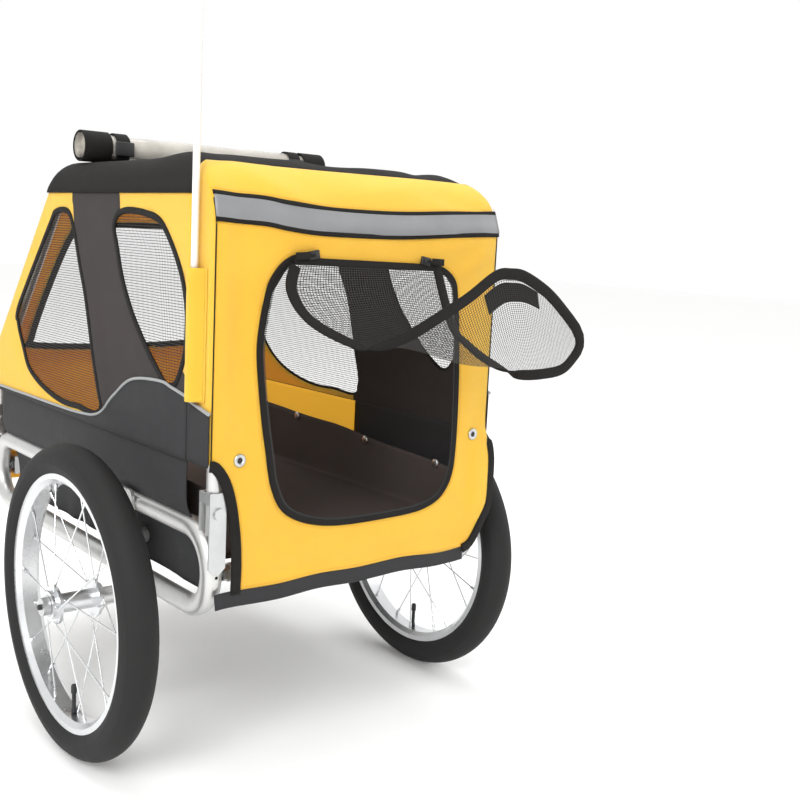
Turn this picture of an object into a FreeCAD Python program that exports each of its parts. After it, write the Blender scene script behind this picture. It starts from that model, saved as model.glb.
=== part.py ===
"""Two-wheeled dog trailer for a bicycle: folding tube frame, fabric cabin, spoked wheels and drawbar."""
import FreeCAD, Part
import math
import os
import re
import Sketcher
from FreeCAD import Placement, Rotation, Vector

# Driving sizes in millimetres. Y is measured forwards from the rear face, Z upwards from the ground.
SIZES = {
    # Reach of the drawn-out door flap behind the rear face
    "rear_reach": 124,
    # Fits and general allowances
    "clearance": 0.3, "running": 0.05, "overrun": 5,
    # Wheels
    "wheel_radius": 195, "wheel_gap": 67, "axle_y": 205, "tyre_section": 21, "tyre_wall": 3,
    "rim_edge": 161, "rim_seat": 152.5, "rim_inner": 147, "rim_half": 16, "rim_lip": 2.5, "rim_base_half": 10,
    "flange_radius": 24, "flange_thick": 3.5, "flange_out": 25, "barrel_radius": 12, "hub_end_radius": 17.5,
    "hub_half": 33, "hub_bore": 8, "bearing_radius": 14, "bearing_width": 8,
    "axle_radius": 6, "axle_head_radius": 11, "axle_head_thick": 9, "axle_seat": 26,
    "button_radius": 3.4, "button_rise": 4, "button_depth": 8.5, "button_travel": 3, "button_edge": 1,
    "spoke_radius": 1, "spoke_circle": 20, "nipple_radius": 2.2, "nipple_length": 9, "nipple_offset": 5,
    "spoke_lift": 0.9, "nipple_slack": 0.4,
    # Side loops and cross tubes
    "loop_inset": 13, "loop_radius": 12.5, "tube_wall": 1.5, "loop_low": 220, "loop_high": 315,
    "loop_end": 15, "cross_radius": 11, "nut_flats": 17, "nut_thick": 8, "stud_radius": 4, "drain_radius": 2,
    # Axle brackets
    "plate_thick": 4, "plate_half": 34, "plate_low": 172, "plate_high": 332, "plate_top_half": 22,
    "plate_foot_half": 17, "plate_round": 8.5,
    "sleeve_radius": 11, "bolt_radius": 3, "bolt_head_radius": 6.5, "bolt_head_thick": 4,
    # Folding hoops and their hinge brackets
    "hoop_radius": 9, "hoop_wall": 1.2, "leg_y": 12, "pivot_z": 342, "pivot_raise": 26, "leg_tail": 26,
    "hoop_drop": 29, "hoop_bend": 65, "bracket_gap": 0.5, "bracket_thick": 2.5, "bracket_low": 272,
    "bracket_rise": 24, "strap_height": 13, "inner_plate_low": 320, "bracket_taper": 7,
    "rivet_radius": 4, "rivet_head_radius": 7, "rivet_head_thick": 3,
    # Fabric cabin
    "body_width": 426, "body_length": 690, "nose_length": 270, "roof_height": 737, "knee_rise": 62,
    "hem_height": 228, "rear_bend": 80, "shoulder": 34, "fabric": 2.5, "corner_depth": 52, "side_gap": 3,
    "side_drop": 37, "notch_width": 36, "notch_round": 20, "skirt_lap": 5, "skirt_gap": 0.5,
    "skirt_bend_z": 336, "skirt_low": 236, "skirt_inset": 55,
    "door_margin": 63, "door_low": 312, "door_drop": 107, "door_round": 55, "zip_width": 9, "zip_thick": 1.7,
    "slider_length": 14, "slider_width": 8, "slider_thick": 4,
    "stripe_drop": 43, "stripe_width": 29, "stripe_thick": 0.6, "mesh_thick": 1, "mesh_margin": 5,
    "fold_gap": 3, "window_round": 9, "front_margin": 46, "front_top_margin": 23, "front_rise": 25,
    "flap_drop": 122.5,
    # Floor and liner
    "floor_inset": 30, "floor_thick": 6, "floor_round": 15, "liner_inset": 1.5, "liner_rear": 28,
    "liner_gap": 35, "liner_thick": 2, "liner_side_high": 345, "liner_rear_high": 310,
    "liner_front_high": 328, "snap_radius": 6, "snap_thick": 2.5, "snap_drop": 14,
    # Rolled front cover and its straps
    "roll_back": 28, "roll_radius": 19, "roll_sheet": 1.2, "roll_gap": 2, "roll_inset": 17,
    "roll_strap_width": 40, "roll_strap_thick": 1.6,
    # Safety flag
    "pole_radius": 4, "pole_y": 30, "pole_low": 432, "pole_high": 1210, "pocket_radius": 7.5,
    "pocket_high": 616, "flag_height": 150, "flag_length": 190, "flag_thick": 1.2, "flag_wave": 9,
    "cap_radius": 6, "cap_length": 14, "ferrule_radius": 5.5, "ferrule_length": 60, "ferrule_drop": 106,
    # Drawbar, its bracket and the hitch
    "bar_inset": 35, "bar_radius": 11, "bar_wall": 1.5, "bar_lead": 34, "bar_tail": 13, "bar_knee": 76,
    "bar_run": 325, "bar_toe": 67, "bar_bend": 70, "hitch_z": 30, "bar_plate_half": 20,
    "bar_plate_thick": 3, "bar_plate_back": 62, "bar_plate_reach": 18, "bar_plate_round": 18,
    "bar_bolt_radius": 4, "knob_radius": 17, "knob_core": 14, "knob_thick": 13, "knob_lobe": 6,
    "block_radius": 18, "block_length": 46, "block_socket": 24,
    "yoke_half": 14, "yoke_round": 12.5, "yoke_thick": 4, "yoke_gap": 14, "yoke_reach": 32, "tongue_half": 10,
    "hitch_pin_radius": 4, "hitch_lead": 108, "hitch_radius": 30, "hitch_thick": 6, "axle_hole": 5.25,
}
# Places that follow from the driving sizes
TIED = {
    # From the width of the cabin
    "loop_x": "body_width / 2 - loop_inset", "wheel_x": "body_width / 2 + wheel_gap",
    "skirt_in": "loop_x - loop_radius - skirt_gap", "door_half": "body_width / 2 - door_margin",
    "floor_half": "body_width / 2 - floor_inset", "liner_half": "floor_half - liner_inset",
    "roll_half": "body_width / 2 - roll_inset", "roll_strap_x": "roll_half - roll_strap_width / 2",
    "bar_x": "loop_x - bar_inset",
    # From the height of the roof, the hinges, the side wall and the flag
    "knee_height": "pivot_z + pivot_raise + knee_rise",
    "side_low": "pivot_z + pivot_raise + bracket_rise + side_gap",
    "hoop_top": "roof_height - hoop_drop", "side_high": "roof_height - side_drop",
    "stripe_high": "roof_height - stripe_drop", "stripe_low": "stripe_high - stripe_width",
    "door_high": "roof_height - door_drop", "front_low": "knee_height + front_rise",
    "skirt_high": "side_low - skirt_lap",
    "ferrule_z": "pole_high - cap_length - flag_height - ferrule_drop",
    # From the length of the cabin
    "roof_length": "body_length - nose_length", "roll_y": "roof_length - roll_back",
    "liner_front": "body_length - liner_gap",
    "bar_pivot_y": "body_length + bar_lead", "bar_knee_y": "bar_pivot_y + bar_knee",
    "bar_foot_y": "bar_knee_y + bar_run", "bar_end_y": "bar_foot_y + bar_toe",
    "bar_plate_rear": "bar_pivot_y - bar_plate_back", "bar_plate_front": "bar_pivot_y + bar_plate_reach",
    "hitch_y": "bar_end_y + hitch_lead", "nose_reach": "hitch_y + hitch_radius",
}
SPOKES = 20
SPOKE_CROSSINGS = 2
TINY = 1e-6
SHIFT = "(nose_reach - rear_reach) / 2"
ALONG_X = Rotation(Vector(0, 1, 0), 90)
ALONG_Y = Rotation(Vector(1, 0, 0), -90)
LEFT_OUT = Rotation(Vector(0, 1, 0), -90)
SIDES = {"left": -1, "right": 1}

doc = FreeCAD.newDocument("dog_trailer")
sheet = doc.addObject("Spreadsheet::Sheet", "Sizes")
for row, (alias, number) in enumerate(SIZES.items(), 1):
    sheet.set(f"A{row}", alias)
    sheet.set(f"B{row}", str(number))
    sheet.setAlias(f"B{row}", alias)
doc.recompute()
nodes = {}


def formula(text):
    """The expression for a text written in the sheet's own names and the tied places."""
    def named(word):
        name = word.group()
        if name in TIED:
            return f"({formula(TIED[name])})"
        return "Sizes." + name if name in SIZES else name
    return re.sub(r"[a-z_]\w*", named, str(text))


def size(text):
    """The present value of such a text."""
    return float(sheet.evalExpression(formula(text)))


def spot(*texts):
    """A point from three such texts."""
    return Vector(*(size(text) for text in texts))


def bind(item, **bindings):
    """Bind an object's properties to the sheet."""
    for path, text in bindings.items():
        item.setExpression(path, formula(text))
    return item


def pose(item, x="0", y="0", z="0", turn=Rotation()):
    """Place an object in the trailer, bound to the sheet."""
    item.Placement = Placement(spot(x, y, z), turn)
    for axis, text in zip("xyz", (x, y, z)):
        item.setExpression(f"Placement.Base.{axis}", formula(text))
    return item


def node(label, item, x="0", y="0", z="0", turn=Rotation()):
    """Name a finished sub-part and place it in the trailer's own frame."""
    item.Label = label
    nodes[label] = pose(item, x, f"({y}) - {SHIFT}", z, turn)
    return item


def box(low, high):
    """Part::Box between two corners given as formulas."""
    item = doc.addObject("Part::Box", "Box")
    spans = {name: f"({b}) - ({a})" for name, a, b in zip(("Length", "Width", "Height"), low, high)}
    bind(item, **spans)
    return pose(item, *low)


def rod(radius, length, x="0", y="0", z="0", turn=Rotation()):
    """Part::Cylinder whose base is at a point."""
    item = doc.addObject("Part::Cylinder", "Rod")
    bind(item, Radius=radius, Height=length)
    return pose(item, x, y, z, turn)


def ring(radius, inner, length, x="0", y="0", z="0", turn=Rotation()):
    """Tube made of two cylinders, with its base at a point."""
    outside = rod(radius, length, x, y, z, turn)
    inside = rod(inner, length, x, y, z, turn)
    return cut(outside, inside)


def cut(base, *tools):
    for tool in tools:
        item = doc.addObject("Part::Cut", "Cut")
        item.Base = base
        item.Tool = tool
        base = item
    return base


def common(base, tool):
    item = doc.addObject("Part::Common", "Common")
    item.Base = base
    item.Tool = tool
    return item


def fuse(*items):
    item = doc.addObject("Part::MultiFuse", "Fuse")
    item.Shapes = items
    return item


def group(*items):
    """Several separate solids that share one sub-part."""
    item = doc.addObject("Part::Compound", "Group")
    item.Links = items
    return item


def feature(shape):
    """A sub-part whose shape is made from the sheet's sizes in code."""
    item = doc.addObject("Part::Feature", "Shape")
    item.Shape = shape
    return item


def outline(body, role, corners):
    """Closed sketch on one of the body's own planes, each corner bound to the sheet."""
    sketch = body.newObject("Sketcher::SketchObject", "Outline")
    plane = next(item for item in body.Origin.OriginFeatures if item.Role == role)
    sketch.AttachmentSupport = [(plane, "")]
    sketch.MapMode = "FlatFace"
    spots = [spot(across, up, "0") for across, up in corners]
    for start, end in zip(spots, spots[1:] + spots[:1]):
        sketch.addGeometry(Part.LineSegment(start, end))
    for side in range(len(spots)):
        sketch.addConstraint(Sketcher.Constraint("Coincident", side, 2, (side + 1) % len(spots), 1))
    for side, pair in enumerate(corners):
        for kind, axis, text in zip(("DistanceX", "DistanceY"), (-2, -1), pair):
            if abs(size(text)) < TINY:
                sketch.addConstraint(Sketcher.Constraint("PointOnObject", side, 1, axis))
                continue
            index = sketch.addConstraint(Sketcher.Constraint(kind, -1, 1, side, 1, size(text)))
            sketch.setExpression(f"Constraints[{index}]", formula(text))
    return sketch


def prism(role, corners, length, rounds=None, symmetric=False, backwards=False):
    """Padded outline in a body, with chosen corners rounded: rounds maps a corner's number to a radius."""
    body = doc.addObject("PartDesign::Body", "Body")
    sketch = outline(body, role, corners)
    pad = body.newObject("PartDesign::Pad", "Pad")
    pad.Profile = sketch
    pad.setExpression("Length", formula(length))
    pad.SideType = "Symmetric" if symmetric else "One side"
    pad.Reversed = backwards
    doc.recompute()
    for radius in sorted(set((rounds or {}).values())):
        corner_spots = [sketch.Placement.multVec(spot(*corners[number], "0"))
                        for number, text in rounds.items() if text == radius]
        normal = sketch.Placement.Rotation.multVec(Vector(0, 0, 1))
        fillet = body.newObject("PartDesign::Fillet", "Fillet")
        base = body.Tip if body.Tip != fillet else fillet.BaseFeature
        names = [f"Edge{number}" for number, edge in enumerate(base.Shape.Edges, 1)
                 if any(edge_passes(edge, place, normal) for place in corner_spots)]
        fillet.Base = (base, names)
        fillet.setExpression("Radius", formula(radius))
        doc.recompute()
    return body


def edge_passes(edge, place, normal):
    """True for a straight edge that stands on the given corner of a padded outline."""
    if edge.Curve.TypeId != "Part::GeomLine":
        return False
    step = edge.Vertexes[-1].Point - edge.Vertexes[0].Point
    offset = edge.Vertexes[0].Point - place
    return step.cross(normal).Length < TINY and offset.cross(normal).Length < TINY


def spun(corners):
    """Revolved outline about Z: corners are radius and height."""
    body = doc.addObject("PartDesign::Body", "Body")
    sketch = outline(body, "XZ_Plane", corners)
    turned = body.newObject("PartDesign::Revolution", "Revolution")
    turned.Profile = sketch
    turned.ReferenceAxis = (sketch, ["V_Axis"])
    turned.Angle = 360
    return body


def route(points, bend):
    """Wire through points with every inner corner rounded to one radius."""
    edges = []
    start = points[0]
    for before, corner, after in zip(points, points[1:], points[2:]):
        back = (before - corner).normalize()
        ahead = (after - corner).normalize()
        half = math.acos(max(-1, min(1, back.dot(ahead)))) / 2
        trim = bend / math.tan(half)
        middle = corner + (back + ahead).normalize() * (bend / math.sin(half) - bend)
        first = corner + back * trim
        last = corner + ahead * trim
        edges.append(Part.LineSegment(start, first).toShape())
        edges.append(Part.Arc(first, middle, last).toShape())
        start = last
    edges.append(Part.LineSegment(start, points[-1]).toShape())
    return Part.Wire(edges)


def piped(wire, radius):
    """Round bar along a wire."""
    first = wire.OrderedEdges[0]
    ahead = first.tangentAt(first.FirstParameter)
    section = Part.Wire([Part.makeCircle(radius, first.valueAt(first.FirstParameter), ahead)])
    return wire.makePipeShell([section], True, False)


def tube(wire, radius, wall):
    """Hollow tube along a wire."""
    return piped(wire, radius).cut(piped(wire, radius - wall))


# Wheels: every piece is drawn about Z with the outer side upwards, then turned to its side
def tyre():
    axis_radius = "wheel_radius - tyre_section"
    outside = bind(doc.addObject("Part::Torus", "Torus"), Radius1=axis_radius, Radius2="tyre_section")
    hollow = "tyre_section - tyre_wall"
    inside = bind(doc.addObject("Part::Torus", "Torus"), Radius1=axis_radius, Radius2=hollow)
    seat = rod("rim_edge + clearance", "2 * tyre_section", z="-tyre_section")
    return cut(outside, inside, seat)


def rim():
    lip = "rim_half - rim_lip"
    half = [("rim_edge", "rim_half"), ("rim_seat", "rim_half"), ("rim_inner", "rim_base_half")]
    return spun(half + [("rim_inner", "-rim_base_half"), ("rim_seat", "-rim_half"), ("rim_edge", "-rim_half"),
                        ("rim_edge", f"-({lip})"), ("rim_seat", f"-({lip})"),
                        ("rim_seat", lip), ("rim_edge", lip)])


def hub():
    near = "flange_out - flange_thick / 2"
    far = "flange_out + flange_thick / 2"
    seat = "hub_half - bearing_width"
    upper = [("bearing_radius", "hub_half"), ("hub_end_radius", "hub_half"), ("hub_end_radius", far),
             ("flange_radius", far), ("flange_radius", near), ("barrel_radius", near)]
    lower = [(radius, f"-({height})") for radius, height in reversed(upper)]
    bore = [("bearing_radius", f"-({seat})"), ("hub_bore", f"-({seat})"), ("hub_bore", seat),
            ("bearing_radius", seat)]
    return spun(upper + lower + bore)


def bearings():
    hole = "axle_radius + running"
    outer = "bearing_radius - running"
    return group(*(ring(outer, hole, "bearing_width", z=low)
                   for low in ("hub_half - bearing_width", "-hub_half")))


def axle():
    top = "hub_half + clearance + axle_head_thick"
    hole = "button_radius + running"
    return spun([("0", "-(hub_half + axle_seat)"), ("axle_radius", "-(hub_half + axle_seat)"),
                 ("axle_radius", "hub_half + clearance"), ("axle_head_radius", "hub_half + clearance"),
                 ("axle_head_radius", top), (hole, top), (hole, f"{top} - button_depth"),
                 ("0", f"{top} - button_depth")])


def button():
    top = "hub_half + clearance + axle_head_thick"
    low = f"{top} - (button_depth - button_travel - clearance)"
    high = f"{top} + button_rise"
    return spun([("0", low), ("button_radius", low), ("button_radius", f"{high} - button_edge"),
                 ("button_radius - button_edge", high), ("0", high)])


def spokes():
    """Crossed spokes from both flanges, each with its nipple at the rim."""
    reach = size("rim_inner - clearance")
    bars = []
    for number in range(SPOKES):
        flange = 1 if number % 2 else -1
        lead = 1 if number % 4 < 2 else -1
        turn = 2 * math.pi * number / SPOKES
        sweep = lead * 2 * math.pi * SPOKE_CROSSINGS / SPOKES
        lift = size("flange_thick / 2 + spoke_radius + running")
        if flange == lead:
            lift += size("spoke_lift")
        foot_z = flange * size("flange_out") + lift * lead
        foot = Vector(math.cos(turn - sweep), math.sin(turn - sweep), 0) * size("spoke_circle")
        foot.z = foot_z
        head = Vector(math.cos(turn), math.sin(turn), 0) * reach
        head.z = flange * size("nipple_offset")
        run = head - foot
        spoke = Part.makeCylinder(size("spoke_radius"), run.Length - size("nipple_length") / 2, foot, run)
        start = foot + run * ((run.Length - size("nipple_length")) / run.Length)
        nipple = Part.makeCylinder(size("nipple_radius"), size("nipple_length - nipple_slack"), start, run)
        bars.append(spoke.fuse(nipple).removeSplitter())
    return feature(Part.makeCompound(bars))


def wheel(side, sign):
    turn = ALONG_X if sign > 0 else LEFT_OUT
    makers = {"tyre": tyre, "rim": rim, "spokes": spokes, "hub": hub, "bearings": bearings,
              "axle": axle, "axle_button": button}
    for name, maker in makers.items():
        node(f"{name}_{side}", maker(), f"{sign} * wheel_x", "axle_y", "wheel_radius", turn)


# Side loops, cross tubes and axle brackets
FRONT_END = "body_length - loop_end"
LOOP_MIDDLE = "(loop_low + loop_high) / 2"
LOOP_BEND = "(loop_high - loop_low) / 2"
PLATE_X = "loop_x + loop_radius + clearance"
BRANCHES = ("loop_low", "loop_high")


def drill(radius, start, length, x, y, z, direction):
    """Cylinder for a hole, in the trailer's own place."""
    origin = spot(x, y, z) + direction * start
    return Part.makeCylinder(radius, length, origin, direction)


def side_loop(sign):
    """Flattened ring of round tube, drilled for the axle bracket's screws and the cross tubes' studs."""
    bend = size(LOOP_BEND)
    rear, front = size("loop_end") + bend, size(FRONT_END) - bend
    low, high, middle = size("loop_low"), size("loop_high"), size(LOOP_MIDDLE)
    x = sign * size("loop_x")
    rear_tip, front_tip = Vector(x, rear - bend, middle), Vector(x, front + bend, middle)
    corners = [Vector(x, rear, low), Vector(x, front, low), Vector(x, front, high), Vector(x, rear, high)]
    wire = Part.Wire([Part.LineSegment(corners[0], corners[1]).toShape(),
                      Part.Arc(corners[1], front_tip, corners[2]).toShape(),
                      Part.LineSegment(corners[2], corners[3]).toShape(),
                      Part.Arc(corners[3], rear_tip, corners[0]).toShape()])
    shape = tube(wire, size("loop_radius"), size("tube_wall"))
    reach = size("loop_radius + overrun")
    outwards = Vector(sign, 0, 0)
    hole = size("bolt_radius + clearance")
    for level in BRANCHES:
        shape = shape.cut(drill(hole, 0, reach, f"{sign} * loop_x", "axle_y", level, outwards))
    stud = size("stud_radius + clearance")
    drain = size("drain_radius")
    for end, away in (("loop_end", -1), (FRONT_END, 1)):
        place = (f"{sign} * loop_x", end, LOOP_MIDDLE)
        shape = shape.cut(drill(stud, 0, reach, *place, outwards * -1))
        shape = shape.cut(drill(drain, 0, reach, *place, Vector(0, away, 0)))
    return feature(shape)


def cross_tube(end):
    """Tube between the loops' round ends, bored at both ends for its studs."""
    half = "loop_x - loop_radius - clearance - nut_thick - clearance"
    return ring("cross_radius", "cross_radius - tube_wall", f"2 * ({half})", f"-({half})", end, LOOP_MIDDLE,
                ALONG_X)


def hexagon(flats, thick, x, y, z, turn):
    """Hexagonal prism with its base at a point."""
    item = doc.addObject("Part::Prism", "Nut")
    item.Polygon = 6
    bind(item, Circumradius=f"{flats} / sqrt(3)", Height=thick)
    return pose(item, x, y, z, turn)


def cross_studs():
    """Hex-nutted studs that hold the cross tubes between the loops' round ends."""
    solids = []
    for sign in SIDES.values():
        turn = ALONG_X if sign > 0 else LEFT_OUT
        inner = "loop_x - loop_radius - clearance - nut_thick"
        for end in ("loop_end", FRONT_END):
            nut = hexagon("nut_flats", "nut_thick", f"{sign} * ({inner})", end, LOOP_MIDDLE, turn)
            length = f"loop_x - ({inner}) + nut_thick"
            shank = rod("stud_radius", length, f"{sign} * ({inner} - nut_thick)", end, LOOP_MIDDLE, turn)
            solids.append(fuse(nut, shank))
    return group(*solids)


def axle_bracket(sign):
    """Plate on the loop's two branches with the sleeve that takes the wheel's axle."""
    corners = [("axle_y - plate_half", "plate_low + plate_half"), ("axle_y - plate_top_half", "plate_high"),
               ("axle_y + plate_top_half", "plate_high"), ("axle_y + plate_half", "plate_low + plate_half"),
               ("axle_y + plate_foot_half", "plate_low"), ("axle_y - plate_foot_half", "plate_low")]
    plate = prism("YZ_Plane", corners, "plate_thick", {number: "plate_round" for number in range(6)})
    low = PLATE_X if sign > 0 else f"-({PLATE_X} + plate_thick)"
    pose(plate, low)
    turn = ALONG_X if sign > 0 else LEFT_OUT
    start = f"{sign} * ({PLATE_X})"
    reach = f"wheel_x - hub_half - clearance - ({PLATE_X})"
    sleeve = rod("sleeve_radius", reach, start, "axle_y", "wheel_radius", turn)
    bore = rod("axle_radius + running", reach, start, "axle_y", "wheel_radius", turn)
    holes = [rod("bolt_radius + clearance", "plate_thick", start, "axle_y", level, turn)
             for level in BRANCHES]
    middle = rod("cross_radius + clearance", "plate_thick", start, "axle_y", LOOP_MIDDLE, turn)
    return cut(fuse(plate, sleeve), bore, middle, *holes)


def axle_tube():
    """Cross tube that joins the two axle brackets between the loops' branches."""
    half = f"({PLATE_X} + plate_thick)"
    return ring("cross_radius", "cross_radius - tube_wall", f"2 * {half}", f"-{half}", "axle_y", LOOP_MIDDLE,
                ALONG_X)


def bracket_screws():
    """Screws that hold the axle brackets to the loops."""
    solids = []
    for sign in SIDES.values():
        turn = ALONG_X if sign > 0 else LEFT_OUT
        for level in BRANCHES:
            length = "loop_radius + clearance + plate_thick"
            shank = rod("bolt_radius", length, f"{sign} * loop_x", "axle_y", level, turn)
            head = rod("bolt_head_radius", "bolt_head_thick", f"{sign} * ({PLATE_X} + plate_thick)", "axle_y",
                       level, turn)
            solids.append(fuse(shank, head))
    return group(*solids)


# Folding hoops and hinge brackets
FRONT_LEG = "body_length - leg_y"
SLOPE_RUN = "(body_length - roof_length)"
SLOPE_DROP = "(roof_height - knee_height)"
SLOPE = f"sqrt({SLOPE_RUN}^2 + {SLOPE_DROP}^2)"


def slope_y(height, inset):
    """Y of the slanted front at a height, moved in by a distance square to it."""
    return (f"body_length - ({height} - knee_height) * {SLOPE_RUN} / {SLOPE_DROP}"
            f" - ({inset}) * {SLOPE} / {SLOPE_DROP}")


def slope_z(place, inset):
    """Height of the slanted front at a place along the body, moved in by a distance square to it."""
    return (f"knee_height + (body_length - ({place}) - ({inset}) * {SLOPE} / {SLOPE_DROP})"
            f" * {SLOPE_DROP} / {SLOPE_RUN}")


def pivot_height(sign):
    return "pivot_z + pivot_raise" if sign > 0 else "pivot_z"


def hoop(sign):
    """Bent tube that holds up one side: rear leg, top bar, slanted front leg."""
    inset = "leg_y"
    foot = f"{pivot_height(sign)} - leg_tail"
    x = f"{sign} * loop_x"
    points = [spot(x, "leg_y", foot), spot(x, "leg_y", "hoop_top"),
              spot(x, slope_y("hoop_top", inset), "hoop_top"), spot(x, FRONT_LEG, slope_z(FRONT_LEG, inset)),
              spot(x, FRONT_LEG, foot)]
    shape = tube(route(points, size("hoop_bend")), size("hoop_radius"), size("hoop_wall"))
    span = size("hoop_radius + overrun")
    for leg in ("leg_y", FRONT_LEG):
        place = (x, leg, pivot_height(sign))
        shape = shape.cut(drill(size("rivet_radius + running"), -span, 2 * span, *place, Vector(0, 1, 0)))
    return feature(shape)


def hinge_bracket(sign, end):
    """Folded channel on the loop's round end: outer plate, inner plate and the strap that stops the hoop."""
    gap = "(hoop_radius + bracket_gap)"
    wide = f"({gap} + bracket_thick)"
    top = f"({pivot_height(sign)} + bracket_rise)"
    face = f"{end} * {wide}"
    plate_corners = [(f"{sign} * {wide}", "bracket_low + bracket_taper"), (f"{sign} * {wide}", top),
                     (f"-{sign} * {gap}", top), (f"-{sign} * {gap}", "bracket_low + bracket_taper"),
                     (f"-{sign} * ({gap} - bracket_taper)", "bracket_low"),
                     (f"{sign} * ({wide} - bracket_taper)", "bracket_low")]
    outer = pose(prism("XZ_Plane", plate_corners, "bracket_thick", backwards=True),
                 y=face if end < 0 else f"{end} * {gap}")
    across = sorted((f"{sign} * {wide}", f"-{sign} * {gap}"), key=size)
    depth = sorted((f"-{end} * {gap}", f"-{end} * {wide}"), key=size)
    inner = box((across[0], depth[0], "inner_plate_low"), (across[1], depth[1], top))
    web = sorted((f"{sign} * {wide}", f"{sign} * {gap}"), key=size)
    strap = box((web[0], f"-{wide}", f"{top} - strap_height"), (web[1], wide, top))
    hole = rod("rivet_radius + running", f"2 * {wide}", "0", f"-{wide}", pivot_height(sign), ALONG_Y)
    return cut(fuse(outer, inner, strap), hole)


def hinge_brackets(sign):
    places = ((-1, "leg_y"), (1, FRONT_LEG))
    return group(*(pose(hinge_bracket(sign, end), f"{sign} * loop_x", leg) for end, leg in places))


def hinge_rivets():
    """Headed rivets on which the hoops turn."""
    depth = "hoop_radius + bracket_gap + bracket_thick"
    solids = []
    for sign in SIDES.values():
        for leg in ("leg_y", FRONT_LEG):
            place = {"x": f"{sign} * loop_x", "z": pivot_height(sign), "turn": ALONG_Y}
            length = f"2 * ({depth} + clearance)"
            shank = rod("rivet_radius", length, y=f"{leg} - ({depth}) - clearance", **place)
            heads = [rod("rivet_head_radius", "rivet_head_thick", y=low, **place)
                     for low in (f"{leg} - ({depth}) - clearance - rivet_head_thick",
                                 f"{leg} + ({depth}) + clearance")]
            solids.append(fuse(shank, *heads))
    return group(*solids)


# Fabric cabin
def cabin_side(inset):
    """Side outline of the cabin, moved in by a thickness and padded across the width."""
    corners = [(inset, "hem_height"), (inset, f"roof_height - ({inset})"),
               (slope_y(f"(roof_height - ({inset}))", inset), f"roof_height - ({inset})"),
               (f"body_length - ({inset})", slope_z(f"body_length - ({inset})", inset)),
               (f"body_length - ({inset})", "hem_height")]
    return prism("YZ_Plane", corners, "body_width", {1: f"rear_bend - ({inset})"}, symmetric=True)


def cabin_end(inset):
    """End outline of the cabin with its round shoulders, padded along the length."""
    half = f"body_width / 2 - ({inset})"
    corners = [(f"-({half})", "hem_height"), (f"-({half})", f"roof_height - ({inset})"),
               (half, f"roof_height - ({inset})"), (half, "hem_height")]
    rounds = {number: f"shoulder - ({inset})" for number in (1, 2)}
    solid = prism("XZ_Plane", corners, "body_length + 2 * overrun", rounds, backwards=True)
    return pose(solid, y="-overrun")


def cabin_shell():
    """Closed cabin skin of one fabric thickness, open underneath."""
    return cut(common(cabin_side("0"), cabin_end("0")), common(cabin_side("fabric"), cabin_end("fabric")))


def door_prism(grow):
    """Rounded door outline, grown by a distance, through the rear face."""
    half = f"(door_half + ({grow}))"
    low, high = f"door_low - ({grow})", f"door_high + ({grow})"
    corners = [(f"-{half}", low), (f"-{half}", high), (half, high), (half, low)]
    return prism("XZ_Plane", corners, "2 * corner_depth", {n: f"door_round + ({grow})" for n in range(4)},
                 symmetric=True)


def corner_notch(sign, low_y, high_y):
    """Rounded cut-out round a hinge bracket."""
    inner = "body_width / 2 - notch_width"
    outer = "body_width / 2 + overrun"
    corners = [(f"{sign} * ({inner})", "hem_height - overrun"), (f"{sign} * ({inner})", "side_low"),
               (f"{sign} * ({outer})", "side_low"), (f"{sign} * ({outer})", "hem_height - overrun")]
    solid = prism("XZ_Plane", corners, f"({high_y}) - ({low_y})", {1: "notch_round"}, backwards=True)
    return pose(solid, y=low_y)


def cabin_block(low_y, high_y, low_z, high_z, half="body_width / 2 + overrun"):
    return box((f"-({half})", low_y, low_z), (half, high_y, high_z))


def rear_panel():
    """Rear face with its door, side returns and the bend into the roof."""
    region = cabin_block("-overrun", "corner_depth", "hem_height - overrun", "roof_height + overrun")
    notches = [corner_notch(sign, "-overrun", "corner_depth + overrun") for sign in SIDES.values()]
    return cut(common(cabin_shell(), region), door_prism("0"), *notches)


def roof_canopy():
    region = cabin_block("corner_depth + clearance", "body_length", "side_high + clearance",
                         "roof_height + overrun")
    return common(cabin_shell(), region)


def front_panel():
    """Front apron and the frame of the slanted opening, notched for the hinge brackets and the drawbar."""
    half = "body_width / 2 - fabric - clearance"
    start = slope_y("side_high", "rear_bend")
    region = cabin_block(start, "body_length + overrun", "hem_height - overrun", "side_high", half)
    mouth = box(("front_margin - body_width / 2", start, "front_low"),
                ("body_width / 2 - front_margin", "body_length + overrun", "side_high - front_top_margin"))
    notches = [corner_notch(sign, "body_length - corner_depth", "body_length + overrun")
               for sign in SIDES.values()]
    slot_half = "(bar_plate_half + bar_plate_thick)"
    slot_low = f"{LOOP_MIDDLE} - bar_radius - 2 * bar_plate_thick"
    slot_high = f"{LOOP_MIDDLE} + bar_radius + 2 * bar_plate_thick"
    slot = box((f"-bar_x - {slot_half}", "body_length - corner_depth", slot_low),
               (f"-bar_x + {slot_half}", "body_length + overrun", slot_high))
    return cut(common(cabin_shell(), region), mouth, slot, *notches)


# Window outlines on the side wall: shares of the way from its rear edge to its sloping front,
# and of its height
REAR_WINDOW_SHARES = ((0.036, 0.49), (0.055, 0.33), (0.086, 0.28), (0.211, 0.46), (0.348, 0.68),
                      (0.448, 0.9), (0.164, 0.9), (0.067, 0.73))
FRONT_WINDOW_SHARES = ((0.365, 0.1), (0.46, 0.085), (0.593, 0.125), (0.749, 0.24), (0.864, 0.36),
                       (0.874, 0.9), (0.732, 0.9), (0.587, 0.67))
PANEL_REAR = "corner_depth + clearance"
PANEL_INSET = "fabric + fold_gap"


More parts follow.
